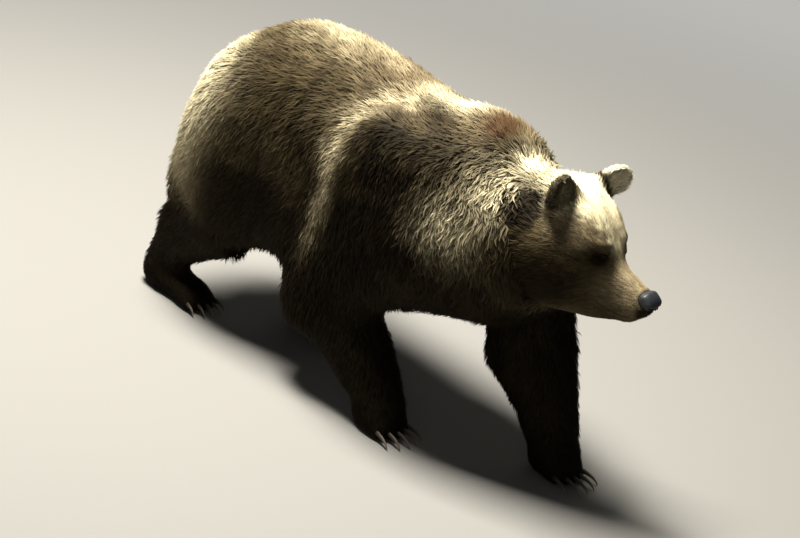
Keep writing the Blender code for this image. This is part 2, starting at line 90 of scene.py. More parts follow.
def dots(vectors: Array, others: Array) -> Array:
    """The dot product of each row with the same row of the others, or with one vector."""
    return (vectors * others).sum(axis=1)


def ramp(values: Array, low: float | Array, high: float | Array) -> Array:
    """A smooth step from 0 at low to 1 at high; low may be above high.

    Args:
        values: what to grade.
        low: where the step starts.
        high: where it ends.

    Returns:
        Numbers from 0 to 1, shaped as values.
    """
    t = np.clip((values - low) / (high - low), 0, 1)
    return t * t * (3 - 2 * t)


def bell(values: Array, middle: float | Array, width: float | Array) -> Array:
    """A bell curve with its top, 1, at middle."""
    return np.exp(-(((values - middle) / width) ** 2))


def angles(count: int) -> Array:
    """Even steps round a full turn."""
    return 2 * math.pi * np.arange(count) / count


def mirrored(points: Array) -> Array:
    """Places with those on the right moved across to the left."""
    return np.stack([points[:, 0], np.abs(points[:, 1]), points[:, 2]], axis=1)


def waves(points: Array, length: float, seed: int) -> Array:
    """Soft, even waves through space, from -1 to 1.

    Args:
        points: rows of places.
        length: how far apart the crests are, about.
        seed: picks the pattern.

    Returns:
        One number for each point.
    """
    rng = np.random.default_rng(seed)
    total = np.zeros(len(points))
    for _ in range(WAVE_COUNT):
        way = unit(rng.normal(size=3)) * (2 * math.pi / length) * rng.uniform(*WAVE_LENGTHS)
        total += np.sin(points @ way + rng.uniform(0, 2 * math.pi))
    return np.clip(total / WAVE_HEIGHT, -1, 1)


def read(items: object, key: str, width: int, kind: type = np.float32) -> Array:
    """One property of every vertex, edge or triangle of a mesh.

    Args:
        items: the mesh's vertices, edges, loops or triangles.
        key: the property.
        width: how many numbers each has.
        kind: their type.

    Returns:
        One row for each.
    """
    found = np.empty(len(items) * width, kind)
    items.foreach_get(key, found)
    return found.reshape(-1, width)


def node_points(name: str) -> Array:
    """The corner points of a frame node."""
    return read(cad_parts[name].data.vertices, "co", 3).astype(float)


def node_middle(name: str) -> Array:
    """The middle of a frame node's box."""
    low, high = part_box(name)
    return (np.array(low) + np.array(high)) / 2


@contextmanager
def edited(mesh: bpy.types.Mesh) -> Iterator[bmesh.types.BMesh]:
    """Opens a mesh for editing, and writes it back at the end.

    Args:
        mesh: the mesh.

    Returns:
        A context that gives the mesh's shape.
    """
    shape = bmesh.new()
    shape.from_mesh(mesh)
    yield shape
    shape.to_mesh(mesh)
    shape.free()


def add_piece(
    name: str, mesh: bpy.types.Mesh, nodes: list[str], finish: bpy.types.Material
) -> bpy.types.Object:
    """Puts a mesh in the scene as a piece of the bear.

    Args:
        name: the piece's name.
        mesh: its finished mesh.
        nodes: the frame nodes that it stands for.
        finish: its material.

    Returns:
        The new object, riding on the body.
    """
    mesh.polygons.foreach_set("use_smooth", np.ones(len(mesh.polygons), bool))
    mesh.materials.append(finish)
    piece = bpy.data.objects.new(name, mesh)
    bpy.context.scene.collection.objects.link(piece)
    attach(piece, "root")
    if nodes:
        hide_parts(*nodes)
    log.info("%s: %d faces", name, len(mesh.polygons))
    return piece


def add_fields(mesh: bpy.types.Mesh, **fields: Array) -> None:
    """Stores numbers or vectors for each vertex under their names.

    Args:
        mesh: the mesh.
        fields: one row or number for each vertex, by name.
    """
    for name, values in fields.items():
        kind, key = ("FLOAT", "value") if values.ndim == 1 else ("FLOAT_VECTOR", "vector")
        layer = mesh.attributes.new(name, kind, "POINT")
        layer.data.foreach_set(key, values.astype(np.float32).ravel())


def ring_mesh(name: str, rings: Array, looped: bool = False) -> bpy.types.Mesh:
    """A closed skin of quads over a stack of rings.

    Args:
        name: the mesh's name.
        rings: places, shaped (rings, corners, 3).
        looped: joins the last ring to the first; otherwise a fan closes each end.

    Returns:
        The mesh.
    """
    count, around = rings.shape[:2]
    points = rings.reshape(-1, 3).tolist()
    faces = []
    for i in range(count if looped else count - 1):
        a, b = i * around, (i + 1) % count * around
        for k in range(around):
            n = (k + 1) % around
            faces.append((a + k, a + n, b + n, b + k))
    if not looped:
        for start, row in ((0, rings[0]), ((count - 1) * around, rings[-1])):
            points.append(row.mean(axis=0).tolist())
            for k in range(around):
                faces.append((start + k, start + (k + 1) % around, len(points) - 1))
    mesh = bpy.data.meshes.new(name)
    mesh.from_pydata(points, [], faces)
    with edited(mesh) as shape:
        bmesh.ops.recalc_face_normals(shape, faces=shape.faces)
    return mesh


def ball_rings(steps: int, around: int) -> tuple[Array, Array]:
    """A ball of radius one as rings round its first axis, without the two poles.

    Args:
        steps: into how many parts the half turn from pole to pole is cut.
        around: how many corners each ring has.

    Returns:
        Places, shaped (rings, corners, 3), and each ring's angle from the first pole.
    """
    tilts = math.pi * np.arange(1, steps) / steps
    ahead = np.repeat(np.cos(tilts)[:, None], around, axis=1)
    turns, out = angles(around), np.sin(tilts)[:, None]
    return np.stack([ahead, out * np.cos(turns), out * np.sin(turns)], axis=2), tilts


# ---------------- the bear's own places


class Region(Enum):
    """The regions of the body; the value names the node of those that have one."""

    TRUNK = "trunk"
    NECK = "neck"
    HEAD = "head"
    NOSE = "nose"
    EAR_LEFT = "ear_left"
    EAR_RIGHT = "ear_right"
    TAIL = "tail"
    UPPER = "upper"
    LOWER = "lower"
    PAW = "paw"


class Leg(Enum):
    """The four legs; the value starts the names of their nodes."""

    FRONT_RIGHT = "front_right"
    FRONT_LEFT = "front_left"
    HIND_RIGHT = "hind_right"
    HIND_LEFT = "hind_left"

    def nodes(self) -> tuple[str, str, str]:
        """The upper, lower and paw nodes."""
        parts = ("upper_arm", "forearm") if "front" in self.value else ("thigh", "shank")
        return tuple(f"{self.value}_{part}" for part in (*parts, "paw"))

    @staticmethod
    def of(node: str) -> "Leg":
        """The leg that a node belongs to."""
        return next(leg for leg in Leg if leg.value in node)


LEG_REGIONS = (Region.UPPER, Region.LOWER, Region.PAW)
EARS = (Region.EAR_LEFT, Region.EAR_RIGHT)
FACE = (Region.HEAD, Region.NOSE)


def flesh_nodes() -> list[tuple[str, Region]]:
    """Every node of flesh with its region, the legs last."""
    found = [(region.value, region) for region in Region if region not in LEG_REGIONS]
    return found + [pair for leg in Leg for pair in zip(leg.nodes(), LEG_REGIONS)]


@dataclass(frozen=True)
class Patch:
    """A soft ellipsoid: full in its middle, about a third at its half sizes."""

    middle: tuple
    sizes: tuple
    gain: float = 1.0
    most: float = 1.0

    def over(self, points: Array) -> Array:
        """How strong the patch is at each point, times its gain and no more than its most."""
        off = (points - np.array(self.middle)) / np.array(self.sizes)
        return np.clip(self.gain * np.exp(-(off**2).sum(axis=1)), 0, self.most)


@dataclass
class HeadFrame:
    """The head's own axes: x to the nose, y to the bear's left, z up, from the eyes and nose.

    The eyes lie ahead of the frame's origin and the nose pad lower than them, so that places on
    the face read as plain sizes.
    """

    eye_ahead: float = 0.102
    eye_above: float = 0.018
    nose_dip: float = math.radians(19.7)
    eye_look: tuple = (0.62, 0.77, 0.12)

    def __post_init__(self) -> None:
        """Finds the axes from the eyes' and the nose's nodes."""
        left, right = node_middle("eye_left"), node_middle("eye_right")
        self.eyes = {1: left, -1: right}
        middle = (left + right) / 2
        across = unit(left - right)
        line = node_middle("nose") - middle
        line = unit(line - across * (line @ across))
        over = np.cross(line, across)
        ahead = line * math.cos(self.nose_dip) + over * math.sin(self.nose_dip)
        self.axes = np.array([ahead, across, np.cross(ahead, across)])
        self.origin = middle - self.axes.T @ np.array([self.eye_ahead, 0, self.eye_above])

    def local(self, points: Array) -> Array:
        """Places in the head's own frame."""
        return (points - self.origin) @ self.axes.T

    def world(self, points: Array) -> Array:
        """Places back in the bear's frame."""
        return np.asarray(points) @ self.axes + self.origin

    def ways(self, vectors: Array) -> Array:
        """Directions of the head's frame in the bear's."""
        return np.asarray(vectors) @ self.axes

    def eye_axes(self, side: int) -> tuple[Array, Array, Array]:
        """The way an eye looks, the way across it to its outer corner, and the way up it.

        Args:
            side: 1 for the left eye, -1 for the right.

        Returns:
            Three directions.
        """
        look = unit(self.ways(np.array(self.eye_look) * (1, side, 1)))
        across = unit(np.cross(self.axes[2], look)) * side
        up = unit(np.cross(look, across))
        return look, across, up * np.sign(up @ self.axes[2])

    def near_eye(self, points: Array) -> Array:
        """How far each point is from the nearer eye's middle."""
        return np.minimum(*[np.linalg.norm(points - eye, axis=1) for eye in self.eyes.values()])


@dataclass(frozen=True)
class Ear:
    """How an ear stands: its root on the head, and its lean, nod and inward turn in degrees."""

    region: Region
    side: int
    lean: float
    nod: float
    toe: float
    root: tuple = (-0.058, 0.090, 0.088)

    def axes(self, head: HeadFrame) -> tuple[Array, Array]:
        """The ear's root and its axes: to its open front, across, and to its tip.

        Args:
            head: the head's frame.

        Returns:
            The root, and three rows of directions.
        """
        lean, nod, toe = (math.radians(angle) for angle in (self.lean, self.nod, self.toe))
        turn = Euler((-lean * self.side, nod, 0), "XYZ").to_matrix()
        turn = turn @ Matrix.Rotation(-toe * self.side, 3, "Z")
        root = np.array(self.root) * (1, self.side, 1)
        return head.world(root), head.ways(np.array(turn).T)

    def local(self, head: HeadFrame, points: Array) -> Array:
        """Places in the ear's own frame."""
        root, axes = self.axes(head)
        return (points - root) @ axes.T


BOTH_EARS = (Ear(Region.EAR_RIGHT, -1, 18, -7, 0), Ear(Region.EAR_LEFT, 1, 56, 24, 36))


# ---------------- skin


@dataclass
class Surface:
    """A mesh as arrays, with its own ways of evening out fields."""

    mesh: bpy.types.Mesh

    def __post_init__(self) -> None:
        """Reads the mesh's points, edges and triangles."""
        self.points = read(self.mesh.vertices, "co", 3).astype(float)
        a, b = read(self.mesh.edges, "vertices", 2, np.int32).T
        self.both = np.concatenate([a, b])
        self.other = np.concatenate([b, a])
        self.count = np.maximum(np.bincount(self.both, minlength=len(self.points)), 1)
        self.mesh.calc_loop_triangles()
        self.triangles = read(self.mesh.loop_triangles, "vertices", 3, np.int32)

    def flats(self) -> Array:
        """Twice each triangle's area, as a vector along its normal."""
        a, b, c = (self.points[self.triangles[:, i]] for i in range(3))
        return np.cross(b - a, c - a)

    def normals(self) -> Array:
        """Vertex normals of the points as they are now.

        Returns:
            One direction for each vertex.
        """
        flat, size = self.flats(), len(self.points)
        found = np.zeros((size, 3))
        for i in range(3):
            for axis in range(3):
                found[:, axis] += np.bincount(self.triangles[:, i], flat[:, axis], size)
        return unit(found)

    def spread(self, values: Array, rounds: int, share: Array | float = 0.5) -> Array:
        """Evens out a field over the surface.

        Args:
            values: one row or number for each vertex.
            rounds: how often each vertex moves towards its neighbours' mean.
            share: how far it moves, for all or for each vertex.

        Returns:
            The evened field, shaped as values.
        """
        size = len(self.points)
        table = values.reshape(size, -1).astype(float)
        part = np.broadcast_to(share, (size,))[:, None]
        for _ in range(rounds):
            columns = [np.bincount(self.both, c[self.other], size) / self.count for c in table.T]
            table = table + (np.stack(columns, axis=1) - table) * part
        return table.reshape(values.shape)

    def write(self) -> None:
        """Puts the points back into the mesh."""
        self.mesh.vertices.foreach_set("co", self.points.astype(np.float32).ravel())
        self.mesh.update()


@dataclass(frozen=True)
class Hide:
    """How the skin lies and what grows on it in one region.

    depth is the coat's depth, spikes and locks are tufts for each square metre, clump says how
    far tufts lean together, cell how large such a lock is, and lift is the least slope at which
    a tuft stands.
    """

    depth: float
    softness: float
    length: float
    width: float
    spikes: float
    locks: float
    clump: float
    cell: float
    lift: float = 0.08


EAR_HIDE = Hide(0.008, 0.2, 0.022, 0.0026, 170e3, 60e3, 0.30, 0.010, 0.45)
HIDES = {
    Region.TRUNK: Hide(0.028, 0.9, 0.056, 0.0044, 50e3, 14e3, 0.60, 0.016),
    Region.NECK: Hide(0.034, 0.9, 0.070, 0.0046, 48e3, 16e3, 0.60, 0.016),
    Region.HEAD: Hide(0.014, 0.4, 0.030, 0.0030, 120e3, 20e3, 0.25, 0.016),
    Region.NOSE: Hide(0.004, 0.2, 0.007, 0.0014, 200e3, 0.0, 0.0, 0.010),
    Region.EAR_LEFT: EAR_HIDE,
    Region.EAR_RIGHT: EAR_HIDE,
    Region.TAIL: Hide(0.018, 0.6, 0.050, 0.0050, 46e3, 14e3, 0.4, 0.024),
    Region.UPPER: Hide(0.028, 0.9, 0.060, 0.0048, 44e3, 11e3, 0.40, 0.026),
    Region.LOWER: Hide(0.018, 0.8, 0.042, 0.0044, 46e3, 9e3, 0.40, 0.022),
    Region.PAW: Hide(0.006, 0.3, 0.015, 0.0028, 120e3, 6e3, 0.25, 0.014),
}


@dataclass(frozen=True)
class Face:
    """The folds of the face, in the head's own frame."""

    furrow: float = 0.0055
    furrow_width: float = 0.011
    ridge: float = 0.0030
    ridge_line: tuple = (0.026, 0.016)
    brow: Patch = Patch((0.090, 0.050, 0.045), (0.032, 0.022, 0.013), 0.0060)
    lip: Patch = Patch((0.222, 0.034, -0.078), (0.036, 0.02, 0.018), 0.0050)
    chin: Patch = Patch((0.228, 0.0, -0.122), (0.030, 0.022, 0.018), 0.0050)
    socket: Patch = Patch((0.130, 0.042, 0.002), (0.022, 0.014, 0.014), 0.0040)
    mouth: float = 0.0038
    mouth_width: float = 0.0034
    mouth_front: tuple = (0.258, -0.096)
    mouth_corner: tuple = (0.125, -0.115)
    mouth_sag: float = 0.006
    mouth_curl: float = 0.004
    lower_lip: float = 0.002
    split: float = 0.003
    split_width: float = 0.0022
    pad: Patch = Patch((0.256, 0.0, -0.040), (0.0290, 0.0335, 0.0275))
    under_middle: tuple = (0.244, 0.0, -0.042)

    def mouth_height(self, x: Array) -> Array:
        """The height of the mouth's line.

        Args:
            x: places along the muzzle.

        Returns:
            One height for each.
        """
        (x0, z0), (x1, z1) = self.mouth_corner, self.mouth_front
        t = np.clip((x - x0) / (x1 - x0), 0, 1)
        sag, curl = self.mouth_sag * np.sin(math.pi * t), self.mouth_curl * ramp(t, 0.2, 0.0)
        return z0 + (z1 - z0) * t - sag + curl

    def relief(self, place: Array) -> Array:
        """How far out the face's folds stand.

        Args:
            place: rows of places in the head's frame.

        Returns:
            One height for each.
        """
        x, y, z = place.T
        near = mirrored(place)
        forehead = ramp(x, -0.06, 0.0) * ramp(x, 0.135, 0.085) * ramp(z, 0.02, 0.05)
        ridges = self.ridge * bell(near[:, 1], *self.ridge_line)
        found = forehead * (ridges - self.furrow * bell(y, 0, self.furrow_width))
        found += self.brow.over(near)
        found -= self.socket.over(near)
        found += self.lip.over(near)
        found += self.chin.over(near)
        line = self.mouth_height(x)
        inside = ramp(x, self.mouth_corner[0] - 0.012, self.mouth_corner[0] + 0.015)
        found -= self.mouth * bell(z, line, self.mouth_width) * inside
        found -= self.lower_lip * inside * ramp(z, line, line - 0.008) * ramp(z, -0.16, -0.14)
        below_pad = ramp(x, 0.245, 0.255) * ramp(z, -0.056, -0.066) * ramp(z, -0.10, -0.092)
        return found - self.split * bell(y, 0, self.split_width) * below_pad

    def under_pad(self, place: Array) -> Array:
        """1 where the nose pad covers the skin, falling to 0 around it."""
        off = (place - np.array(self.pad.middle)) / np.array(self.pad.sizes)
        return ramp(np.linalg.norm(off, axis=1), 1.15, 0.95)


@dataclass
class Skin:
    """The bear's one skin, drawn from the frame's solids of flesh."""

    head: HeadFrame
    face: Face = field(default_factory=Face)
    voxel: float = 0.0105
    inflate: float = 0.0012
    smoothing: int = 20
    fine_head: tuple = (-0.12, -0.20)
    fine_face: tuple = (0.06, -0.150)
    fine_eye: float = 0.034
    fine_pad: float = 0.05
    socket_radius: float = 0.0104
    socket_reach: tuple = (0.028, 0.014)
    rim_height: float = 0.0078
    rim_slope: float = 0.22
    under_ball: float = -0.003
    eye_flatness: float = 0.62
    eye_depth: float = 0.0035
    face_depth: tuple = (0.0040, 0.026)
    lid_depth: float = 0.0015
    combing: tuple = (0.22, 1, 1)

    def build(self) -> None:
        """Draws the skin and lays it inside the solids."""
        self.nodes = flesh_nodes()
        self.mesh = self.refined(self.evened(self.joined()))
        self.surface = Surface(self.mesh)
        self.weights = self.surface.spread(self.nearest_nodes(self.surface.points), 22)
        self.outer = self.surface.points.copy()
        self.depth = self.coat_depth()
        self.lay()

    def column(self, name: str) -> Array:
        """One number of each node's hide, in the order of the nodes."""
        return np.array([getattr(HIDES[region], name) for _, region in self.nodes])

    def share(self, *regions: Region) -> Array:
        """How much each vertex belongs to these regions together."""
        wanted = [i for i, (_, region) in enumerate(self.nodes) if region in regions]
        return self.weights[:, wanted].sum(axis=1)

    def joined(self) -> bpy.types.Mesh:
        """All solids of flesh in one closed mesh of even quads.

        Returns:
            The mesh, with what lies inside taken out.
        """
        mesh = bpy.data.meshes.new("skin")
        with edited(mesh) as shape:
            for name, _ in self.nodes:
                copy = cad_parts[name].data.copy()
                with edited(copy) as part:
                    bmesh.ops.remove_doubles(part, verts=part.verts, dist=1e-5)
                    part.normal_update()
                    for vertex in part.verts:
                        vertex.co += vertex.normal * self.inflate
                shape.from_mesh(copy)
                bpy.data.meshes.remove(copy)
        holder = bpy.data.objects.new("holder", mesh)
        bpy.context.scene.collection.objects.link(holder)
        modifier = holder.modifiers.new("Join", "REMESH")
        modifier.mode = "VOXEL"
        modifier.voxel_size = self.voxel
        graph = bpy.context.evaluated_depsgraph_get()
        graph.update()
        result = bpy.data.meshes.new_from_object(holder.evaluated_get(graph))
        bpy.data.objects.remove(holder)
        return self.largest_shell(result)

    @staticmethod
    def largest_shell(mesh: bpy.types.Mesh) -> bpy.types.Mesh:
        """Takes out the small shells that gaps between solids leave inside.

        Args:
            mesh: the joined mesh.

        Returns:
            The same mesh, with its largest shell only.
        """
        with edited(mesh) as shape:
            left, shells = set(shape.verts), []
            for start in shape.verts:
                if start not in left:
                    continue
                shell = [start]
                left.discard(start)
                for here in shell:
                    found = left.intersection(edge.other_vert(here) for edge in here.link_edges)
                    left -= found
                    shell += found
                shells.append(shell)
            shells.sort(key=len)
            loose = [vertex for shell in shells[:-1] for vertex in shell]
            bmesh.ops.delete(shape, geom=loose, context="VERTS")
        return mesh

    def evened(self, mesh: bpy.types.Mesh) -> bpy.types.Mesh:
        """Takes the facets out, more on the body than on the head and feet.

        Args:
            mesh: the joined mesh.

        Returns:
            The same mesh, moved.
        """
        surface = Surface(mesh)
        weights = surface.spread(self.nearest_nodes(surface.points), 8)
        share = 0.5 * weights @ self.column("softness")
        surface.points = surface.spread(surface.points, self.smoothing, share)
        surface.write()
        return mesh

    def refined(self, mesh: bpy.types.Mesh) -> bpy.types.Mesh:
        """Cuts the head's faces finer, and those of the face, eyes and muzzle finer again.

        Args:
            mesh: the evened mesh.

        Returns:
            The same mesh, cut finer.
        """
        with edited(mesh) as shape:
            for level in range(3):
                middles = np.array([face.calc_center_median() for face in shape.faces])
                place = self.head.local(middles)
                x, _, z = place.T
                to_pad = np.linalg.norm(place - np.array(self.face.pad.middle), axis=1)
                wanted = (
                    (x > self.fine_head[0]) & (z > self.fine_head[1]),
                    (x > self.fine_face[0]) & (z > self.fine_face[1]),
                    (self.head.near_eye(middles) < self.fine_eye) | (to_pad < self.fine_pad),
                )[level]
                edges = {edge for face, w in zip(shape.faces, wanted) if w for edge in face.edges}
                bmesh.ops.subdivide_edges(shape, edges=list(edges), cuts=1, use_grid_fill=True)
                bmesh.ops.triangulate(shape, faces=[f for f in shape.faces if len(f.verts) > 4])
        surface = Surface(mesh)
        ahead = self.head.local(surface.points)[:, 0]
        surface.points = surface.spread(surface.points, 6, 0.5 * ramp(ahead, -0.17, -0.10))
        surface.write()
        return mesh

    def nearest_nodes(self, points: Array) -> Array:
        """Tells which flesh node is nearest to each point.

        Args:
            points: rows of places.

        Returns:
            For each, a row with 1 in the column of its node and 0 elsewhere.
        """
        corners, faces, labels, start = [], [], [], 0
        for index, (name, _) in enumerate(self.nodes):
            found = node_points(name)
            corners.append(found)
            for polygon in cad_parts[name].data.polygons:
                faces.append([v + start for v in polygon.vertices])
                labels.append(index)
            start += len(found)
        tree = BVHTree.FromPolygons(np.vstack(corners).tolist(), faces)
        result = np.zeros((len(points), len(self.nodes)))
        for row, point in enumerate(points):
            result[row, labels[tree.find_nearest(Vector(point))[2]]] = 1
        return result

    def coat_depth(self) -> Array:
        """How far the skin lies inside the solids.

        Returns:
            One depth for each vertex.
        """
        depth = self.weights @ self.column("depth")
        ahead = self.head.local(self.outer)[:, 0]
        thin = self.face_depth[0] + self.face_depth[1] * ramp(ahead, 0.13, -0.11)
        depth += (thin - depth) * self.share(*FACE)
        depth += (self.lid_depth - depth) * ramp(self.head.near_eye(self.outer), 0.050, 0.018)
        return self.surface.spread(depth, 12)

    def lay(self) -> None:
        """Moves the surface in by the coat's depth and forms the face."""
        surface = self.surface
        surface.points = surface.points - surface.normals() * self.depth[:, None]
        behind = ramp(self.head.local(surface.points)[:, 0], -0.10, -0.16)
        surface.points = surface.spread(surface.points, 8, 0.4 * behind)
        place = self.head.local(surface.points)
        relief = self.face.relief(place) * self.share(*FACE)
        surface.points = surface.points + surface.normals() * relief[:, None]
        middle = self.head.world(np.array([self.face.under_middle]))
        surface.points += (middle - surface.points) * (0.5 * self.face.under_pad(place))[:, None]
        for side, eye in self.head.eyes.items():
            self.sink_eye(eye, side)
        surface.write()

    def sink_eye(self, eye: Array, side: int) -> None:
        """Lowers the skin round an eye into a socket whose rim meets the lids.

        Args:
            eye: the eye's middle.
            side: 1 for the left eye, -1 for the right.
        """
        points = self.surface.points
        look, across, up = self.head.eye_axes(side)
        off = points - (eye - look * self.eye_depth)
        height = off @ look
        away = np.hypot(off @ across, off @ up / self.eye_flatness)
        near = (away < 0.04) & (height > -0.012)
        rim = self.rim_height + self.rim_slope * np.clip(away - self.socket_radius, 0, 1)
        target = np.where(away < self.socket_radius, self.under_ball, rim)
        move = (target - height) * ramp(away, *self.socket_reach) * near
        self.surface.points = points + look * move[:, None]

    def dress(self, markings: "Markings", effects: "Effects") -> None:
        """Puts the skin in the scene with its map, markings and finish.

        Args:
            markings: the shared markings.
            effects: the shared node groups.
        """
        finish = CoatFinish("skin", roughness=0.85, specular=0.15, bump=0.5).material(effects)
        piece = add_piece("skin", self.mesh, [name for name, _ in self.nodes], finish)
        self.unwrap(piece)
        place = self.head.local(self.surface.points)
        marks = markings.at(self.surface.points)
        short = self.share(*FACE) * ramp(place[:, 0], 0.0, 0.12)
        # The skin is coloured as a hair's root, darkest under the long coat: partly darker under-fur, partly
        # painted shade deep in the coat.
        hair = np.stack([0.5 * short, 0 * short + 0.5, 0 * short], axis=1)
        combed = place * self.combing
        add_fields(self.mesh, marks=marks[:, :3], tan=marks[:, 3], combed=combed, hair=hair)

    @staticmethod
    def unwrap(piece: bpy.types.Object) -> None:
        """Lays the skin out flat in the map that the coat's tufts share.

        Args:
            piece: the skin.
        """
        piece.data.uv_layers.new(name=SKIN_MAP)
        bpy.context.view_layer.objects.active = piece
        piece.select_set(True)
        bpy.ops.object.mode_set(mode="EDIT")
        bpy.ops.mesh.select_all(action="SELECT")
        bpy.ops.uv.smart_project(angle_limit=math.radians(66), island_margin=0.004)
        bpy.ops.object.mode_set(mode="OBJECT")
        piece.select_set(False)


# ---------------- lie of the coat and markings


@dataclass
class Lie:
    """The way the coat lies at each vertex of the skin: along its surface, nose to tail."""

    skin: Skin
    evening: int = 5
    swirl: float = 0.22
    swirl_length: float = 0.16
    ripple: float = 0.20
    ripple_length: float = 0.05
    hanging: tuple = (0.12, 0.0, -1.0)
    down: tuple = (0.0, 0.0, -1.0)
    down_rump: tuple = (-0.15, 0.0, -1.0)
    back: tuple = (-1.0, 0.0, 0.0)
    off_tail: tuple = (-0.3, 0.0, -1.0)
    over_paw: tuple = (1.0, 0.0, -0.35)
    down_upper: tuple = (-0.1, 0.0, -0.7)
    down_lower: tuple = (-0.25, 0.0, 0.0)
    rump_end: tuple = (0.26, 0.06)
    nose_tip: tuple = (0.30, 0.0, -0.03)

    def __post_init__(self) -> None:
        """Lays the wanted ways on the surface, evens them out and turns them a little."""
        surface = self.skin.surface
        self.points = surface.points
        self.normals = unit(surface.spread(surface.normals(), 4))
        total = np.zeros_like(self.points)
        for index, (name, region) in enumerate(self.skin.nodes):
            total += self.skin.weights[:, index : index + 1] * self.wanted(name, region)
        flow = unit(self.flattened(total))
        for _ in range(self.evening):
            flow = unit(self.flattened(surface.spread(flow, 3)))
        turn = self.swirl * waves(self.points, self.swirl_length, 3)
        turn += self.ripple * waves(self.points, self.ripple_length, 4)
        turn *= 1 - 0.6 * self.skin.share(*FACE)
        side = np.cross(self.normals, flow)
        self.flow = unit(flow * np.cos(turn)[:, None] + side * np.sin(turn)[:, None])

    def flattened(self, ways: Array) -> Array:
        """Ways with what stands off the surface taken out."""
        return ways - self.normals * dots(ways, self.normals)[:, None]

    def wanted(self, name: str, region: Region) -> Array:
        """Where the hair of one node points, before it is laid on the surface.

        Args:
            name: the node.
            region: its region.

        Returns:
            One vector for each point, or one for all.
        """
        if region in (Region.TRUNK, Region.NECK):
            return self.body_ways(region)
        if region in FACE:
            return self.head_ways()
        if region in EARS:
            ear = next(ear for ear in BOTH_EARS if ear.region is region)
            _, across, along = ear.local(self.skin.head, self.points).T
            return np.stack([0 * along, across, 0.02 + np.abs(along)], 1) @ ear.axes(self.skin.head)[1]
        if region is Region.TAIL:
            return np.array([self.off_tail])
        if region is Region.PAW:
            return np.array([self.over_paw])
        upper, lower, paw = Leg.of(name).nodes()
        if region is Region.UPPER:
            return (unit(node_middle(lower) - node_middle(upper)) + self.down_upper)[None]
        return (unit(node_middle(paw) - node_middle(lower)) + self.down_lower)[None]

    def body_ways(self, region: Region) -> Array:
        """Back along the spine, slanting over the sides, and hanging from shoulder and mane.

        Args:
            region: trunk or neck.

        Returns:
            One vector for each point.
        """
        x, _, z = self.points.T
        sideways = np.abs(self.normals[:, 1])
        hangs = ramp(z, 0.90, 0.62)
        if region is Region.TRUNK:
            shoulder = ramp(x, -0.16, -0.02) * ramp(z, 0.93, 0.80) * ramp(x, 0.38, 0.28)
            hangs = np.maximum(hangs, shoulder)
        hangs = np.maximum(hangs, 0.92 * ramp(x, 0.14, 0.24) * ramp(z, 0.94, 0.84))
        hangs = hangs * ramp(sideways, 0.15, 0.55)
        ways = np.stack([-np.ones(len(x)), 0 * x, -0.28 - 0.35 * sideways], axis=1)
        tail_end = CAD_BOX[0][0]
        for share, way in (
            (hangs, self.hanging),
            (ramp(x, *(tail_end + end for end in self.rump_end)), self.down_rump),
            (ramp(self.normals[:, 0], 0.35, 0.8), self.down),
            (ramp(self.normals[:, 2], -0.3, -0.8), self.back),
        ):
            ways = ways * (1 - share[:, None]) + np.array(way) * share[:, None]
        return ways

    def head_ways(self) -> Array:
        """Away from the nose, back over the skull and down over the cheeks.

        Returns:
            One vector for each point.
        """
        place = self.skin.head.local(self.points)
        ways = unit(place - np.array(self.nose_tip))
        cheek = np.abs(self.normals[:, 1]) * ramp(place[:, 0], 0.12, -0.02)
        ways[:, 0] -= 0.4
        ways[:, 2] -= 0.45 * cheek
        return self.skin.head.ways(unit(ways))


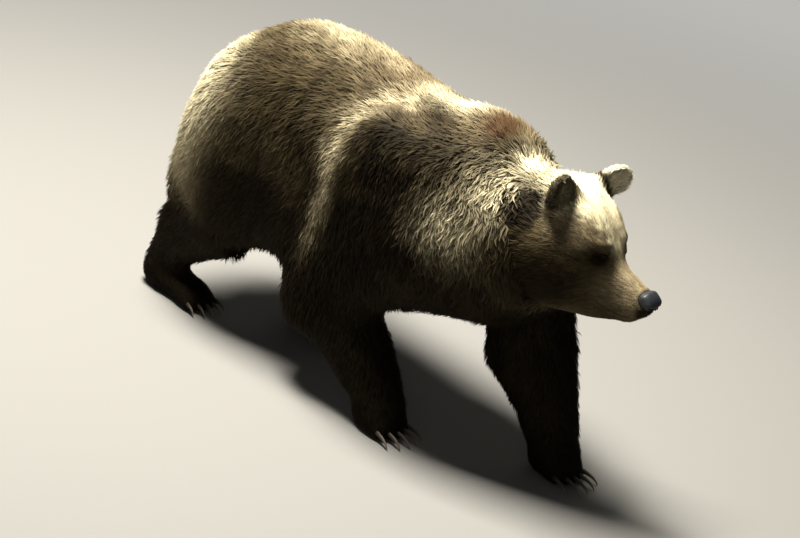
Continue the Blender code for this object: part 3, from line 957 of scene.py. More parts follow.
@dataclass(frozen=True)
class BodyMarks:
    """The colours of trunk, neck and legs: dark below, pale ruff and saddle, russet hump; the flanks carry
    painted shade and the rump, back and haunch painted light.
    """

    ragged_coarse: float = 0.026
    ragged_fine: float = 0.018
    belt: float = 0.60
    belt_fade: tuple = (0.07, -0.10)
    belt_at_rump: float = -0.20
    belt_at_shoulder: float = 0.16
    rump_span: tuple = (0.30, 0.12)
    shoulder_span: tuple = (-0.10, 0.0)
    flank_span: tuple = (0.97, 0.87)
    spine_span: tuple = (0.905, 0.975)
    hollow: Patch = Patch((-0.19, 0, 0.62), (0.06, 1, 0.22), 0.85)
    thigh: Patch = Patch((-0.38, 0, 0.47), (0.15, 1, 0.13), 1.5)
    ruff: Patch = Patch((0.41, 0.14, 0.82), (0.11, 0.09, 0.09))
    mane: Patch = Patch((0.32, 0.24, 0.70), (0.10, 0.12, 0.10))
    saddle: Patch = Patch((0.05, 0.0, 0.970), (0.10, 0.075, 0.045), 1.6)
    buttock: Patch = Patch((-0.66, 0.24, 0.72), (0.07, 0.10, 0.20), 0.9)
    hump: Patch = Patch((0.268, -0.035, CAD_BOX[1][2] - 0.022), (0.056, 0.080, 0.045), 1.8)
    loin: Patch = Patch((-0.12, -0.03, 0.94), (0.07, 0.09, 0.04), 0.5)
    nape: Patch = Patch((0.400, -0.03, 0.900), (0.050, 0.085, 0.042), 1.5)
    hip: Patch = Patch((-0.58, 0.22, 0.76), (0.08, 0.12, 0.13))
    streak_line: float = -0.135
    streak_width: float = 0.040
    pale_shares: tuple = (0.80, 0.60, 1.0, 1.0, 0.66, 0.20, 0.88)
    light_shares: tuple = (1.0, 0.75, 0.85, 0.70, 1.0)
    tan_shares: tuple = (0.62, 0.35, 0.5, 0.45, 0.6, 0.30)

    def over(self, points: Array) -> Array:
        """Works the masks out.

        Args:
            points: rows of places.

        Returns:
            Rows of dark, pale, russet and tan.
        """
        x, y, z = points.T
        tail_end = CAD_BOX[0][0]
        ragged = self.ragged_coarse * waves(points, 0.16, 11) + self.ragged_fine * waves(points, 0.05, 12)
        side = mirrored(points)
        flat = side * (1, 0, 1)
        level = z + ragged
        rump = ramp(x, *(tail_end + end for end in self.rump_span))
        shoulder = ramp(x, *self.shoulder_span)
        edge = self.belt + self.belt_at_rump * rump + self.belt_at_shoulder * shoulder
        belt = 0.97 * ramp(level - edge, *self.belt_fade)
        # The flank and thigh masks darken the sides from the back down: partly darker fur, partly painted
        # shade.
        flank = (0.60 + 0.32 * shoulder) * (1 + 0.25 * waves(points, 0.09, 16))
        flank = flank * ramp(level, *self.flank_span) * (1 - 0.75 * rump)
        dark = np.max([belt, flank, self.hollow.over(flat), self.thigh.over(flat)], axis=0)
        ruff, mane = self.ruff.over(side), self.mane.over(side)
        saddle, nape = self.saddle.over(points), self.nape.over(points)
        # Painted light: the haunch is made paler and less dark, to soften the shadow that the rump casts on
        # it.
        haunch_painted_light = ramp(x, -0.50, -0.64) * ramp(z, 0.28, 0.38) * ramp(z, 0.72, 0.58)
        # A pale band along the top of the back, stronger towards the rump: partly pale fur, partly painted
        # rim light.
        spine = (0.20 + 0.26 * ramp(x, -0.35, -0.55)) * ramp(z + 0.4 * ragged, *self.spine_span)
        spine *= ramp(x, 0.30, 0.15)
        # The pale rear edge of the rump, with the buttock: partly pale fur, partly painted rim light.
        rear = ramp(x + 0.9 * ragged, tail_end + 0.26, tail_end + 0.13) * ramp(level, 0.34, 0.46)
        rear = np.maximum(rear, self.buttock.over(side))
        rear *= (1 - 0.25 * ramp(z, 0.86, 0.94)) * (0.12 + 0.88 * ramp(side[:, 1], 0.04, 0.15))
        rear *= 1 - 0.5 * ramp(z + 1.5 * ragged, 0.62, 0.42)
        streak = self.streak(side, ragged) * (1 - 0.45 * ramp(y, 0.0, 0.10))
        streak *= 1 + 0.35 * waves(points, 0.07, 17)
        russet = np.maximum(self.hump.over(points), self.loin.over(points))
        top = ramp(z + 0.4 * ragged, 0.88, 0.95)
        pale = self.strongest(self.pale_shares, ruff, mane, saddle, spine, rear, streak, nape)
        tan = self.strongest(self.tan_shares, streak, self.hip.over(side), mane, haunch_painted_light, rear, top)
        for share, mask in zip(self.light_shares, (ruff, mane, rear, streak, nape)):
            dark = dark * (1 - share * mask)
        dark *= (1 - saddle) * (1 - 0.5 * russet) * (1 - 0.6 * haunch_painted_light)
        unreddened = 1 - 0.9 * russet
        return np.stack([dark, pale * unreddened, russet, tan * unreddened], axis=1)

    @staticmethod
    def strongest(shares: tuple, *masks: Array) -> Array:
        """The greatest of several masks at each point, each taken at its share."""
        return np.max([share * mask for share, mask in zip(shares, masks)], axis=0)

    def streak(self, side: Array, ragged: Array) -> Array:
        """The paler streak down the rear edge of the shoulder.

        Args:
            side: places mirrored to the left.
            ragged: how far the edge strays at each.

        Returns:
            A mask.
        """
        x, _, z = side.T
        line = self.streak_line + 0.12 * ramp(z, 0.80, 0.96) - 0.02 * ramp(z, 0.5, 0.3) + 0.7 * ragged
        width = self.streak_width + 0.026 * ramp(z, 0.66, 0.86)
        return bell(x, line, width) * ramp(z, 0.32, 0.56) * ramp(z, 1.0, 0.93)


@dataclass(frozen=True)
class HeadMarks:
    """The colours of the head: cream crown, tan muzzle, dark cheeks, eyes, lips and ears; painted light and
    shade on crown, forehead, cheeks, eyes and ears.
    """

    head: HeadFrame
    face: Face
    crown: float = 0.68
    crown_reach: float = 0.100
    furrow_shade: tuple = (0, 0.008)
    muzzle: float = 0.80
    temple: Patch = Patch((0.00, 0.100, 0.065), (0.10, 0.06, 0.045), 0.85)
    jaw: Patch = Patch((0.02, 0.06, -0.20), (0.14, 0.08, 0.05), 0.20)
    cheek: Patch = Patch((-0.03, 0.13, -0.12), (0.19, 0.11, 0.11))
    eye: Patch = Patch((0.086, 0.056, 0.008), (0.039, 0.031, 0.024), 1.6, 0.98)
    tear: Patch = Patch((0.030, 0.095, -0.008), (0.060, 0.040, 0.026), 0.75)
    brow: Patch = Patch((0.10, 0.048, 0.045), (0.025, 0.022, 0.010))
    lower_lip: Patch = Patch((0, 0.045, -0.095), (1, 0.03, 0.030))
    ear_middle: float = 0.045
    ear_inside: Patch = Patch((0.02, 0, 0.058), (0.025, 0.024, 0.034))
    # how pale the far ear is painted, as if lit
    far_ear_painted_light: float = 0.80
    # where the ears' painted shadow falls on the neck
    ear_shadow_patch: Patch = Patch((-0.130, 0.13, 0.043), (0.050, 0.06, 0.062))

    def over(self, points: Array) -> Array:
        """Works the masks out.

        Args:
            points: rows of places.

        Returns:
            Rows of dark, pale, russet and tan.
        """
        place = self.head.local(points)
        x, y, z = place.T
        near = mirrored(place)
        mottle = waves(points, 0.03, 14)
        reach = self.crown_reach - 0.062 * ramp(x, -0.08, 0.10) + 0.010 * mottle
        pale = self.crown * ramp(near[:, 1] - reach, 0.012, -0.016)
        pale *= ramp(z, 0.005, 0.045) * ramp(x, 0.150, 0.105)
        # A darker line down the forehead's furrow: painted shade in the crease.
        pale *= 1 - 0.55 * bell(y, *self.furrow_shade) * ramp(x, -0.01, 0.04)
        # The top of the crown is paler still: partly paler fur, partly a painted highlight.
        pale *= 1 + 0.45 * ramp(z, 0.100, 0.130) * ramp(x, 0.00, -0.06) - 0.16 * ramp(x, -0.03, 0.05)
        muzzle = self.muzzle * ramp(x, 0.08, 0.17) * ramp(z, -0.14, -0.07)
        tan = np.max([muzzle, self.temple.over(near), self.jaw.over(near)], axis=0)
        chin = ramp(x, 0.10, 0.14) * self.lower_lip.over(near * (0, 1, 1))
        lips = ramp(x, 0.10, 0.13) * bell(z, self.face.mouth_height(x), 0.005)
        under_nose = ramp(x, 0.236, 0.258) * ramp(z, -0.045, -0.065) * ramp(z, -0.125, -0.105)
        # The dark cheeks and the dark patch and tear line round each eye: partly darker fur, partly painted
        # shade.
        cheek = np.clip((1.15 + 0.15 * mottle) * self.cheek.over(near), 0, 0.90)
        eye = self.eye.over(near) * (1 - 0.8 * self.brow.over(near))
        dark = [cheek, eye, self.tear.over(near), 0.30 * chin, 0.6 * lips, 0.9 * under_nose]
        dark = np.max(dark, axis=0)
        on_ears = self.on_ears(points)
        for ear in BOTH_EARS:
            ear_place = ear.local(self.head, points)
            _, across, along = ear_place.T
            here = on_ears * (np.hypot(across, along - self.ear_middle) < 0.09)
            # The two ears are coloured apart as painted light and shade: the near ear darker, as in shade,
            # with a paler inside; the far ear pale, as if lit from above, and darker at its root.
            if ear.side < 0:
                inside = self.ear_inside.over(ear_place)
                shade, light = 0.36 - 0.36 * inside, 0.14 + 0.34 * inside
            else:
                base = ramp(along, 0.034, 0.014)
                shade, light = self.far_ear_painted_light * base, self.far_ear_painted_light * (1 - base)
            dark += (shade - dark) * here
            pale += (light - pale) * here
        return np.stack([dark, pale * (1 - dark), 0 * dark, tan * (1 - 0.6 * dark)], axis=1)

    def on_ears(self, points: Array) -> Array:
        """Tells the ears from the rest of the head.

        Args:
            points: rows of places.

        Returns:
            1 on the ears and 0 off them.
        """
        found = np.zeros(len(points))
        for ear in BOTH_EARS:
            _, across, along = ear.local(self.head, points).T
            near = ramp(np.hypot(across, along - self.ear_middle), 0.085, 0.070)
            found = np.maximum(found, ramp(along, -0.004, 0.014) * near)
        return found

    def shadow(self, points: Array) -> Array:
        """Painted shadow of the ears: dark patches on the neck behind them.

        Args:
            points: rows of places.

        Returns:
            A mask.
        """
        patch = self.ear_shadow_patch.over(mirrored(self.head.local(points)))
        patch = np.clip(2.4 * patch * (1 + 0.3 * waves(points, 0.04, 15)), 0, 1)
        return patch * (1 - self.on_ears(points))


@dataclass
class Markings:
    """The coat's colours as soft masks over the whole bear: dark, pale, russet and tan, with painted light
    and shade among them.
    """

    head: HeadFrame
    face: Face
    neck_span: tuple = (-0.20, -0.12)
    throat_span: tuple = (-0.30, -0.22)

    def at(self, points: Array) -> Array:
        """The four masks at each point.

        Args:
            points: rows of places on the skin.

        Returns:
            Rows of four numbers from 0 to 1.
        """
        of_head = HeadMarks(self.head, self.face)
        body, head = BodyMarks().over(points), of_head.over(points)
        x, _, z = self.head.local(points).T
        on_head = ramp(x, *self.neck_span) * ramp(z - 0.7 * np.maximum(-x, 0), *self.throat_span)
        marks = np.clip(body + (head - body) * on_head[:, None], 0, 1)
        # the ears' painted shadow: darker there, with pale and tan taken out
        shadow = of_head.shadow(points)
        marks[:, 0] = np.maximum(marks[:, 0], shadow)
        marks[:, (1, 3)] *= 1 - shadow[:, None]
        return marks


# ---------------- finishes


@dataclass(frozen=True)
class Wiring:
    """A node tree, with short ways to add its nodes and to join them."""

    tree: bpy.types.NodeTree

    def put(self, value: object, socket: bpy.types.NodeSocket) -> None:
        """Joins a socket to an input, or sets the input itself.

        Args:
            value: a socket, a number, or the three numbers of a colour.
            socket: the input.
        """
        if isinstance(value, bpy.types.NodeSocket):
            self.tree.links.new(value, socket)
        else:
            socket.default_value = (*value, 1) if socket.type == "RGBA" else value

    def fill(self, node: bpy.types.Node, inputs: dict[str | int, object]) -> bpy.types.Node:
        """Puts a value or a socket into several inputs of a node.

        Args:
            node: the node.
            inputs: what goes where, by the input's name or number.

        Returns:
            The same node.
        """
        for key, value in inputs.items():
            self.put(value, node.inputs[key])
        return node

    def add(self, kind: str, inputs: dict[str | int, object], **settings: object) -> bpy.types.Node:
        """A new node.

        Args:
            kind: its type.
            inputs: what goes into its inputs.
            settings: its own properties.

        Returns:
            The node.
        """
        node = self.tree.nodes.new(kind)
        for name, value in settings.items():
            setattr(node, name, value)
        return self.fill(node, inputs)

    def field(self, name: str, output: str = "Fac") -> bpy.types.NodeSocket:
        """One of the mesh's own fields."""
        return self.add("ShaderNodeAttribute", {}, attribute_name=name).outputs[output]

    def place(self) -> bpy.types.NodeSocket:
        """Where each point lies, in metres."""
        return self.add("ShaderNodeTexCoord", {}).outputs["Object"]

    def mixed(self, mask: object, first: object, second: object) -> bpy.types.NodeSocket:
        """A mix of two colours by a mask; colours are sockets or rows of numbers.

        Args:
            mask: the socket that leads from the first colour to the second.
            first: the colour where the mask is 0.
            second: the colour where it is 1.

        Returns:
            The mixed colour's socket.
        """
        node = self.add("ShaderNodeMix", {"Factor": mask}, data_type="RGBA")
        colours = [socket for socket in node.inputs if socket.type == "RGBA"]
        for socket, value in zip(colours, (first, second)):
            self.put(value, socket)
        return next(socket for socket in node.outputs if socket.type == "RGBA")

    def worked(self, kind: str, *values: object) -> bpy.types.NodeSocket:
        """The result of a Math operation on sockets or numbers."""
        return self.add("ShaderNodeMath", dict(enumerate(values)), operation=kind).outputs[0]

    def bump(self, height: object, strength: float, distance: float) -> None:
        """Raises the material's surface by a height.

        Args:
            height: the socket of the height.
            strength: how strongly it shows.
            distance: how high it stands, in metres.
        """
        inputs = {"Height": height, "Strength": strength, "Distance": distance}
        normal = self.add("ShaderNodeBump", inputs).outputs["Normal"]
        self.put(normal, self.tree.nodes["Principled BSDF"].inputs["Normal"])


@dataclass(frozen=True)
class Palette:
    """The coat's colours."""

    shade: tuple = (0.034, 0.024, 0.011)
    body: tuple = (0.100, 0.076, 0.039)
    russet: tuple = (0.046, 0.022, 0.009)
    tan: tuple = (0.25, 0.20, 0.120)
    pale: tuple = (0.68, 0.61, 0.40)
    # frost: the near-white of the palest coat, partly pale fur, partly painted highlight
    frost: tuple = (0.84, 0.83, 0.75)
    dark: tuple = (0.0064, 0.0046, 0.0026)


@dataclass
class Effects:
    """The node groups that more than one finish uses."""

    palette: Palette = field(default_factory=Palette)
    blotches: float = 9.0
    mottling: float = 90.0
    pebbling: float = 800.0

    def __post_init__(self) -> None:
        """Builds each group once."""
        self.coat_colour = self.build_coat_colour()
        self.grain = self.build_grain()
        self.leather = self.build_leather()

    @staticmethod
    def group(name: str, inputs: dict[str, str], outputs: dict[str, str]) -> tuple:
        """An empty node group.

        Args:
            name: its name.
            inputs: its input sockets, by name, and the kind of each.
            outputs: its output sockets.

        Returns:
            The group, its wiring, its inputs within and its output node.
        """
        made = bpy.data.node_groups.new(name, "ShaderNodeTree")
        for way, sockets in (("INPUT", inputs), ("OUTPUT", outputs)):
            for label, kind in sockets.items():
                made.interface.new_socket(name=label, in_out=way, socket_type=f"NodeSocket{kind}")
        given = made.nodes.new("NodeGroupInput").outputs
        return made, Wiring(made), given, made.nodes.new("NodeGroupOutput")

    def build_coat_colour(self) -> bpy.types.NodeTree:
        """The coat's colour from its masks, the place along a hair and the tuft's own tone, the last two with
        painted shade in them.

        Returns:
            The node group.
        """
        floats = dict.fromkeys(("Dark", "Pale", "Russet", "Tan", "Along", "Tone"), "Float")
        made, wiring, given, output = self.group(
            "Bear coat colour", {**floats, "Place": "Vector"}, {"Color": "Color"}
        )
        noise = {"Vector": given["Place"], "Scale": self.blotches, "Detail": 4.0}
        blotches = wiring.add("ShaderNodeTexNoise", noise).outputs["Fac"]
        colour = wiring.mixed(blotches, self.palette.shade, self.palette.body)
        # Where the pale mask is strongest the coat runs to frost: partly pale fur, partly painted highlight.
        palest = wiring.worked("MULTIPLY_ADD", given["Pale"], 4.0, -3.0)
        for mask, over in (
            (given["Russet"], self.palette.russet),
            (given["Tan"], self.palette.tan),
            (given["Pale"], self.palette.pale),
            (palest, self.palette.frost),
            (given["Dark"], self.palette.dark),
        ):
            colour = wiring.mixed(mask, colour, over)
        # Darker at the root and paler at the tip: partly the hair's own paler tips, partly painted shade deep
        # in the coat.
        along = wiring.worked("MULTIPLY_ADD", given["Along"], 1.30, 0.22)
        # The tone scales the colour: random tone and painted shade, as Coat.shapes works it out.
        tone = wiring.worked("MULTIPLY_ADD", given["Tone"], 1.5, 0.25)
        shaded = {0: colour, "Scale": wiring.worked("MULTIPLY", along, tone)}
        shaded = wiring.add("ShaderNodeVectorMath", shaded, operation="SCALE")
        wiring.put(shaded.outputs[0], output.inputs["Color"])
        return made

    def build_grain(self) -> bpy.types.NodeTree:
        """A fine even grain, as a height or a mask.

        Returns:
            The node group.
        """
        made, wiring, given, output = self.group(
            "Bear grain", {"Place": "Vector", "Scale": "Float"}, {"Height": "Float"}
        )
        noise = wiring.add("ShaderNodeTexNoise", {"Vector": given["Place"], "Scale": given["Scale"]})
        wiring.put(noise.outputs["Fac"], output.inputs["Height"])
        return made

    def build_leather(self) -> bpy.types.NodeTree:
        """Bare skin: its mottled colour and the height of its pebbles.

        Returns:
            The node group.
        """
        made, wiring, given, output = self.group(
            "Bear leather",
            {"Place": "Vector", "Deep": "Color", "Light": "Color"},
            {"Color": "Color", "Height": "Float"},
        )
        mottle = wiring.add("ShaderNodeTexNoise", {"Vector": given["Place"], "Scale": self.mottling})
        colour = wiring.mixed(mottle.outputs["Fac"], given["Deep"], given["Light"])
        pebbles = {"Vector": given["Place"], "Scale": self.pebbling}
        pebbles = wiring.add("ShaderNodeTexVoronoi", pebbles, feature="SMOOTH_F1")
        wiring.fill(output, {"Color": colour, "Height": pebbles.outputs["Distance"]})
        return made


@dataclass(frozen=True)
class Finish:
    """What every finish has: its name, how rough and glossy it is, and how wet."""

    name: str
    roughness: float
    specular: float
    wet: float = 0.0
    wet_roughness: float = 0.25

    def start(self) -> tuple[bpy.types.Material, Wiring, bpy.types.Node]:
        """Makes a Principled material with what is the same all over.

        Returns:
            The material, its wiring and its shader.
        """
        made = bpy.data.materials.new(self.name)
        made.use_nodes = True
        wiring = Wiring(made.node_tree)
        looks = {"Roughness": self.roughness, "Specular IOR Level": self.specular}
        looks |= {"Coat Weight": self.wet, "Coat Roughness": self.wet_roughness}
        return made, wiring, wiring.fill(made.node_tree.nodes["Principled BSDF"], looks)


@dataclass(frozen=True)
class CoatFinish(Finish):
    """Fur or furred skin, coloured by the shared markings."""

    bump: float = 0.0
    tint: tuple = (1.0, 0.84, 0.60)
    strands: float = 600.0
    strand_height: float = 0.001

    def material(self, effects: Effects) -> bpy.types.Material:
        """Builds the material.

        Args:
            effects: the shared node groups.

        Returns:
            The material.
        """
        made, wiring, shader = self.start()
        inputs = {"Place": wiring.place(), "Tan": wiring.field("tan")}
        for name, sockets in (("marks", ("Dark", "Pale", "Russet")), ("hair", ("Along", "Tone"))):
            split = wiring.add("ShaderNodeSeparateXYZ", {0: wiring.field(name, "Vector")})
            inputs |= zip(sockets, split.outputs)
        colour = wiring.add("ShaderNodeGroup", inputs, node_tree=effects.coat_colour)
        wiring.fill(shader, {"Specular Tint": self.tint, "Base Color": colour.outputs["Color"]})
        if self.bump:
            strands = wiring.add("ShaderNodeGroup", {}, node_tree=effects.grain)
            wiring.fill(strands, {"Place": wiring.field("combed", "Vector"), "Scale": self.strands})
            wiring.bump(strands.outputs["Height"], self.bump, self.strand_height)
        return made


@dataclass(frozen=True)
class EyeFinish(Finish):
    """A wet, dark brown eye with a black pupil."""

    iris: tuple = (0.040, 0.018, 0.007)
    rim: tuple = (0.012, 0.008, 0.006)
    pupil: tuple = (0.002, 0.002, 0.002)

    def material(self) -> bpy.types.Material:
        """Builds the material; the mesh tells how far each point is from the pupil's middle.

        Returns:
            The material.
        """
        made, wiring, shader = self.start()
        bands = wiring.add("ShaderNodeValToRGB", {"Fac": wiring.field("from_pupil")})
        stops = bands.color_ramp.elements
        stops[0].position, stops[0].color = 0.13, (*self.pupil, 1)
        stops[1].position, stops[1].color = 0.17, (*self.iris, 1)
        for position, colour in ((0.30, self.iris), (0.36, self.rim)):
            stops.new(position).color = (*colour, 1)
        wiring.put(bands.outputs["Color"], shader.inputs["Base Color"])
        return made


@dataclass(frozen=True)
class LeatherFinish(Finish):
    """Bare black skin: pebbled on the nose, smooth on the lids."""

    colour: tuple = (0.0040, 0.0028, 0.0020)
    pebbles: float = 0.15
    lighter: float = 2.2
    pebble_height: float = 0.0005

    def material(self, effects: Effects) -> bpy.types.Material:
        """Builds the material.

        Args:
            effects: the shared node groups.

        Returns:
            The material.
        """
        made, wiring, shader = self.start()
        light = tuple(self.lighter * part for part in self.colour)
        leather = wiring.add("ShaderNodeGroup", {}, node_tree=effects.leather)
        wiring.fill(leather, {"Place": wiring.place(), "Deep": self.colour, "Light": light})
        wiring.put(leather.outputs["Color"], shader.inputs["Base Color"])
        wiring.bump(leather.outputs["Height"], self.pebbles, self.pebble_height)
        return made


@dataclass(frozen=True)
class HornFinish(Finish):
    """Claw horn: dark at the root, paler at the tip, streaked along its length."""

    root: tuple = (0.026, 0.019, 0.014)
    tip: tuple = (0.16, 0.12, 0.078)
    paling: float = 1.6
    streaks: tuple = (240.0, 0.9, 0.55)
    ridges: tuple = (420.0, 0.25, 0.0008)

    def material(self, effects: Effects) -> bpy.types.Material:
        """Builds the material; the mesh tells how far along the claw each point is.

        Args:
            effects: the shared node groups.

        Returns:
            The material.
        """
        made, wiring, shader = self.start()
        heights = []
        for scale in (self.streaks[0], self.ridges[0]):
            grain = wiring.add("ShaderNodeGroup", {}, node_tree=effects.grain)
            wiring.fill(grain, {"Place": wiring.place(), "Scale": scale})
            heights.append(grain.outputs["Height"])
        streak = wiring.worked("MULTIPLY_ADD", heights[0], *self.streaks[1:])
        along = wiring.worked("POWER", wiring.field("along"), self.paling)
        colour = wiring.mixed(wiring.worked("MULTIPLY", along, streak), self.root, self.tip)
        wiring.put(colour, shader.inputs["Base Color"])
        wiring.bump(heights[1], *self.ridges[1:])
        return made


# ---------------- coat


class Tuft(Enum):
    """The kinds of tuft; the value is how many rings each has below its tip."""

    SPIKE = 1
    LOCK = 2
    CURL = 4

    @property
    def density(self) -> str:
        """The name of its field of tufts for each square metre."""
        return {Tuft.SPIKE: "spikes", Tuft.LOCK: "locks", Tuft.CURL: "curls"}[self]

    @property
    def breadth(self) -> float:
        """How much broader it is than a spike."""
        return {Tuft.SPIKE: 1.0, Tuft.LOCK: 1.25, Tuft.CURL: 1.5}[self]

    @property
    def parts(self) -> int:
        """How many straight parts its middle line is laid in."""
        return 1 if self is Tuft.SPIKE else self.value + 1

    @property
    def triangles(self) -> int:
        """How many triangles it has."""
        return 6 * self.value - 2

    def pattern(self) -> Array:
        """The corner numbers of its triangles: base, sides and tip.

        Returns:
            One row of three for each triangle.
        """
        faces = [(0, 1, 2)]
        for ring in range(self.value):
            low = 3 * ring
            for k in range(3):
                m = (k + 1) % 3
                if ring == self.value - 1:
                    faces.append((low + m, low + k, 3 * self.value))
                else:
                    faces += [(low + m, low + k, low + m + 3), (low + m + 3, low + k, low + k + 3)]
        return np.array(faces)


@dataclass
class Roots:
    """Where tufts grow and what each of them is like, one row for each."""

    place: Array
    normal: Array
    flow: Array
    depth: Array
    marks: Array
    uv: Array
    node: Array
    plan: dict[str, Array]

    def take(self, chosen: Array) -> "Roots":
        """Some of the roots only."""
        plan = {name: values[chosen] for name, values in self.plan.items()}
        return Roots(plan=plan, **{k: v[chosen] for k, v in vars(self).items() if k != "plan"})


@dataclass(frozen=True)
class FaceHair:
    """The short coat of the face, which grows longer from the nose back to the cheeks."""

    span: tuple = (-0.12, 0.20)
    length: tuple = (0.044, -0.037)
    cheek_length: float = 0.022
    width: tuple = (0.0040, -0.0026)
    spikes: tuple = (80e3, 300e3)
    lid: tuple = (0.0095, 0.0135)
    eye_shortening: float = 0.65
    eye_lift: float = 0.16


@dataclass(frozen=True)
class ManeHair:
    """The ruff of neck and shoulders: long curled locks."""

    curls: float = 14e3
    clump: float = 0.84
    cell: float = 0.024
    thinning: float = 0.45
    lengthening: float = 0.15

    def where(self, place: Array) -> Array:
        """Tells where the ruff is.

        Args:
            place: rows of places in the head's frame.

        Returns:
            1 in the ruff and 0 outside it.
        """
        behind = ramp(place[:, 0], -0.44, -0.30) * ramp(place[:, 0], -0.05, -0.13)
        return behind * ramp(place[:, 2], -0.36, -0.26) * ramp(place[:, 2], 0.16, 0.04)


@dataclass
class Coat:
    """All tufts, in pieces by region."""

    skin: Skin
    lie: Lie
    markings: Markings
    face: FaceHair = field(default_factory=FaceHair)
    mane: ManeHair = field(default_factory=ManeHair)
    patch: float = 0.003
    most: int = 185_000
    sink: float = 0.002
    softness: float = 0.55
    bulge: float = 0.55
    stretch: float = 3.0
    least_cell: float = 0.005
    curl: float = 0.011
    wind: float = 0.006
    straying: float = 0.22
    steepest: float = 1.3
    clearance: float = 0.0006
    seed: int = 20

    def __post_init__(self) -> None:
        """Reads the skin's map and plans the coat."""
        self.rng = np.random.default_rng(self.seed)
        mesh = self.skin.mesh
        loops = read(mesh.loop_triangles, "loops", 3, np.int32)
        self.corner_uv = read(mesh.uv_layers[SKIN_MAP].data, "uv", 2)[loops]
        self.fields = self.plan()

    def plan(self) -> dict[str, Array]:
        """Length, width, density and clumping of the tufts.

        Returns:
            One number for each vertex of the skin, by name.
        """
        skin, hair, mane = self.skin, self.face, self.mane
        names = ("length", "width", "spikes", "locks", "clump", "cell", "lift")
        found = {name: skin.weights @ skin.column(name) for name in names}
        place = skin.head.local(skin.surface.points)
        face = skin.share(*FACE)
        front = ramp(place[:, 0], *hair.span)
        cheeks = ramp(place[:, 0], 0.08, -0.06) * ramp(place[:, 2], 0.06, -0.04)
        for name, (back, change) in (("length", hair.length), ("width", hair.width), ("spikes", hair.spikes)):
            wanted = back + change * front + (hair.cheek_length * cheeks if name == "length" else 0)
            found[name] += face * (wanted - found[name])
        found["locks"] *= 1 - face * ramp(front, 0.3, 0.6)
        found["mane"] = mane.where(place)
        found["curls"] = mane.curls * found["mane"]
        found["clump"] += found["mane"] * (mane.clump - found["clump"])
        found["cell"] += found["mane"] * (mane.cell - found["cell"])
        found["spikes"] *= 1 - mane.thinning * found["mane"]
        found["length"] *= 1 + mane.lengthening * found["mane"]
        near = skin.head.near_eye(skin.surface.points)
        found["spikes"] *= ramp(near, *hair.lid) * (1 - skin.face.under_pad(place))
        found["length"] *= 1 - hair.eye_shortening * ramp(near, 0.040, 0.012)
        found["lift"] += hair.eye_lift * ramp(near, 0.05, 0.03)
        soles = ramp(skin.surface.normals()[:, 2], -0.6, -0.9) * ramp(skin.outer[:, 2], 0.03, 0.01)
        for name in ("spikes", "locks"):
            found[name] *= 1 - soles
        return found

    def roots(self, kind: Tuft) -> Roots:
        """Scatters the roots of one kind of tuft over the skin.

        Args:
            kind: the kind of tuft.

        Returns:
            Their roots.
        """
        surface, rng = self.skin.surface, self.rng
        density = self.fields[kind.density]
        triangles = surface.triangles
        area = np.linalg.norm(surface.flats(), axis=1) / 2
        wanted = area * density[triangles].mean(axis=1)
        counts = np.floor(wanted + rng.random(len(wanted))).astype(int)
        where = np.repeat(np.arange(len(triangles)), counts)
        u, v = rng.random(len(where)), rng.random(len(where))
        flip = u + v > 1
        u[flip], v[flip] = 1 - u[flip], 1 - v[flip]
        share = np.stack([1 - u - v, u, v], axis=1)
        corners = triangles[where]

        def mixed(values: Array) -> Array:
            """A vertex field at the roots."""
            rows = values[corners]
            return (rows * (share if rows.ndim == 2 else share[:, :, None])).sum(axis=1)

        place, flow = mixed(surface.points), unit(mixed(self.lie.flow))
        plan = {name: mixed(values) for name, values in self.fields.items()}
        return Roots(
            place=place,
            normal=unit(mixed(self.lie.normals)),
            flow=flow,
            depth=mixed(self.skin.depth),
            marks=self.markings.at(place + flow * plan["length"][:, None] * 0.45),
            uv=(self.corner_uv[where] * share[:, :, None]).sum(axis=1),
            node=self.skin.weights[corners[:, 0]].argmax(axis=1),
            plan=plan,
        )

    def build(self, fur: bpy.types.Material) -> None:
        """Makes every piece of the coat.

        Args:
            fur: the coat's finish.
        """
        all_roots = {kind: self.roots(kind) for kind in Tuft}
        total = 0
        for name, nodes in self.groups().items():
            chosen = {k: np.flatnonzero(np.isin(r.node, nodes)) for k, r in all_roots.items()}
            faces = sum(len(rows) * kind.triangles for kind, rows in chosen.items())
            pieces = max(1, math.ceil(faces / self.most))
            for index in range(pieces):
                bits = []
                for kind, rows in chosen.items():
                    places = all_roots[kind].place[rows]
                    order = rows[np.argsort(places[:, 0] + 0.3 * places[:, 1])]
                    bits.append((kind, all_roots[kind].take(np.array_split(order, pieces)[index])))
                label = name if pieces == 1 else f"{name}_{index + 1}"
                total += self.piece(label, bits, fur)
        log.info("coat: %d triangles in all", total)

    def groups(self) -> dict[str, list[int]]:
        """The flesh nodes of each coat piece.

        Returns:
            Numbers of nodes, by the piece's name.
        """
        found: dict[str, list[int]] = {}
        for index, (name, region) in enumerate(self.skin.nodes):
            if region in (Region.TRUNK, Region.TAIL):
                key = "trunk"
            elif region in LEG_REGIONS:
                key = Leg.of(name).value
            else:
                key = "neck" if region is Region.NECK else "head"
            found.setdefault(f"coat_{key}", []).append(index)
        return found

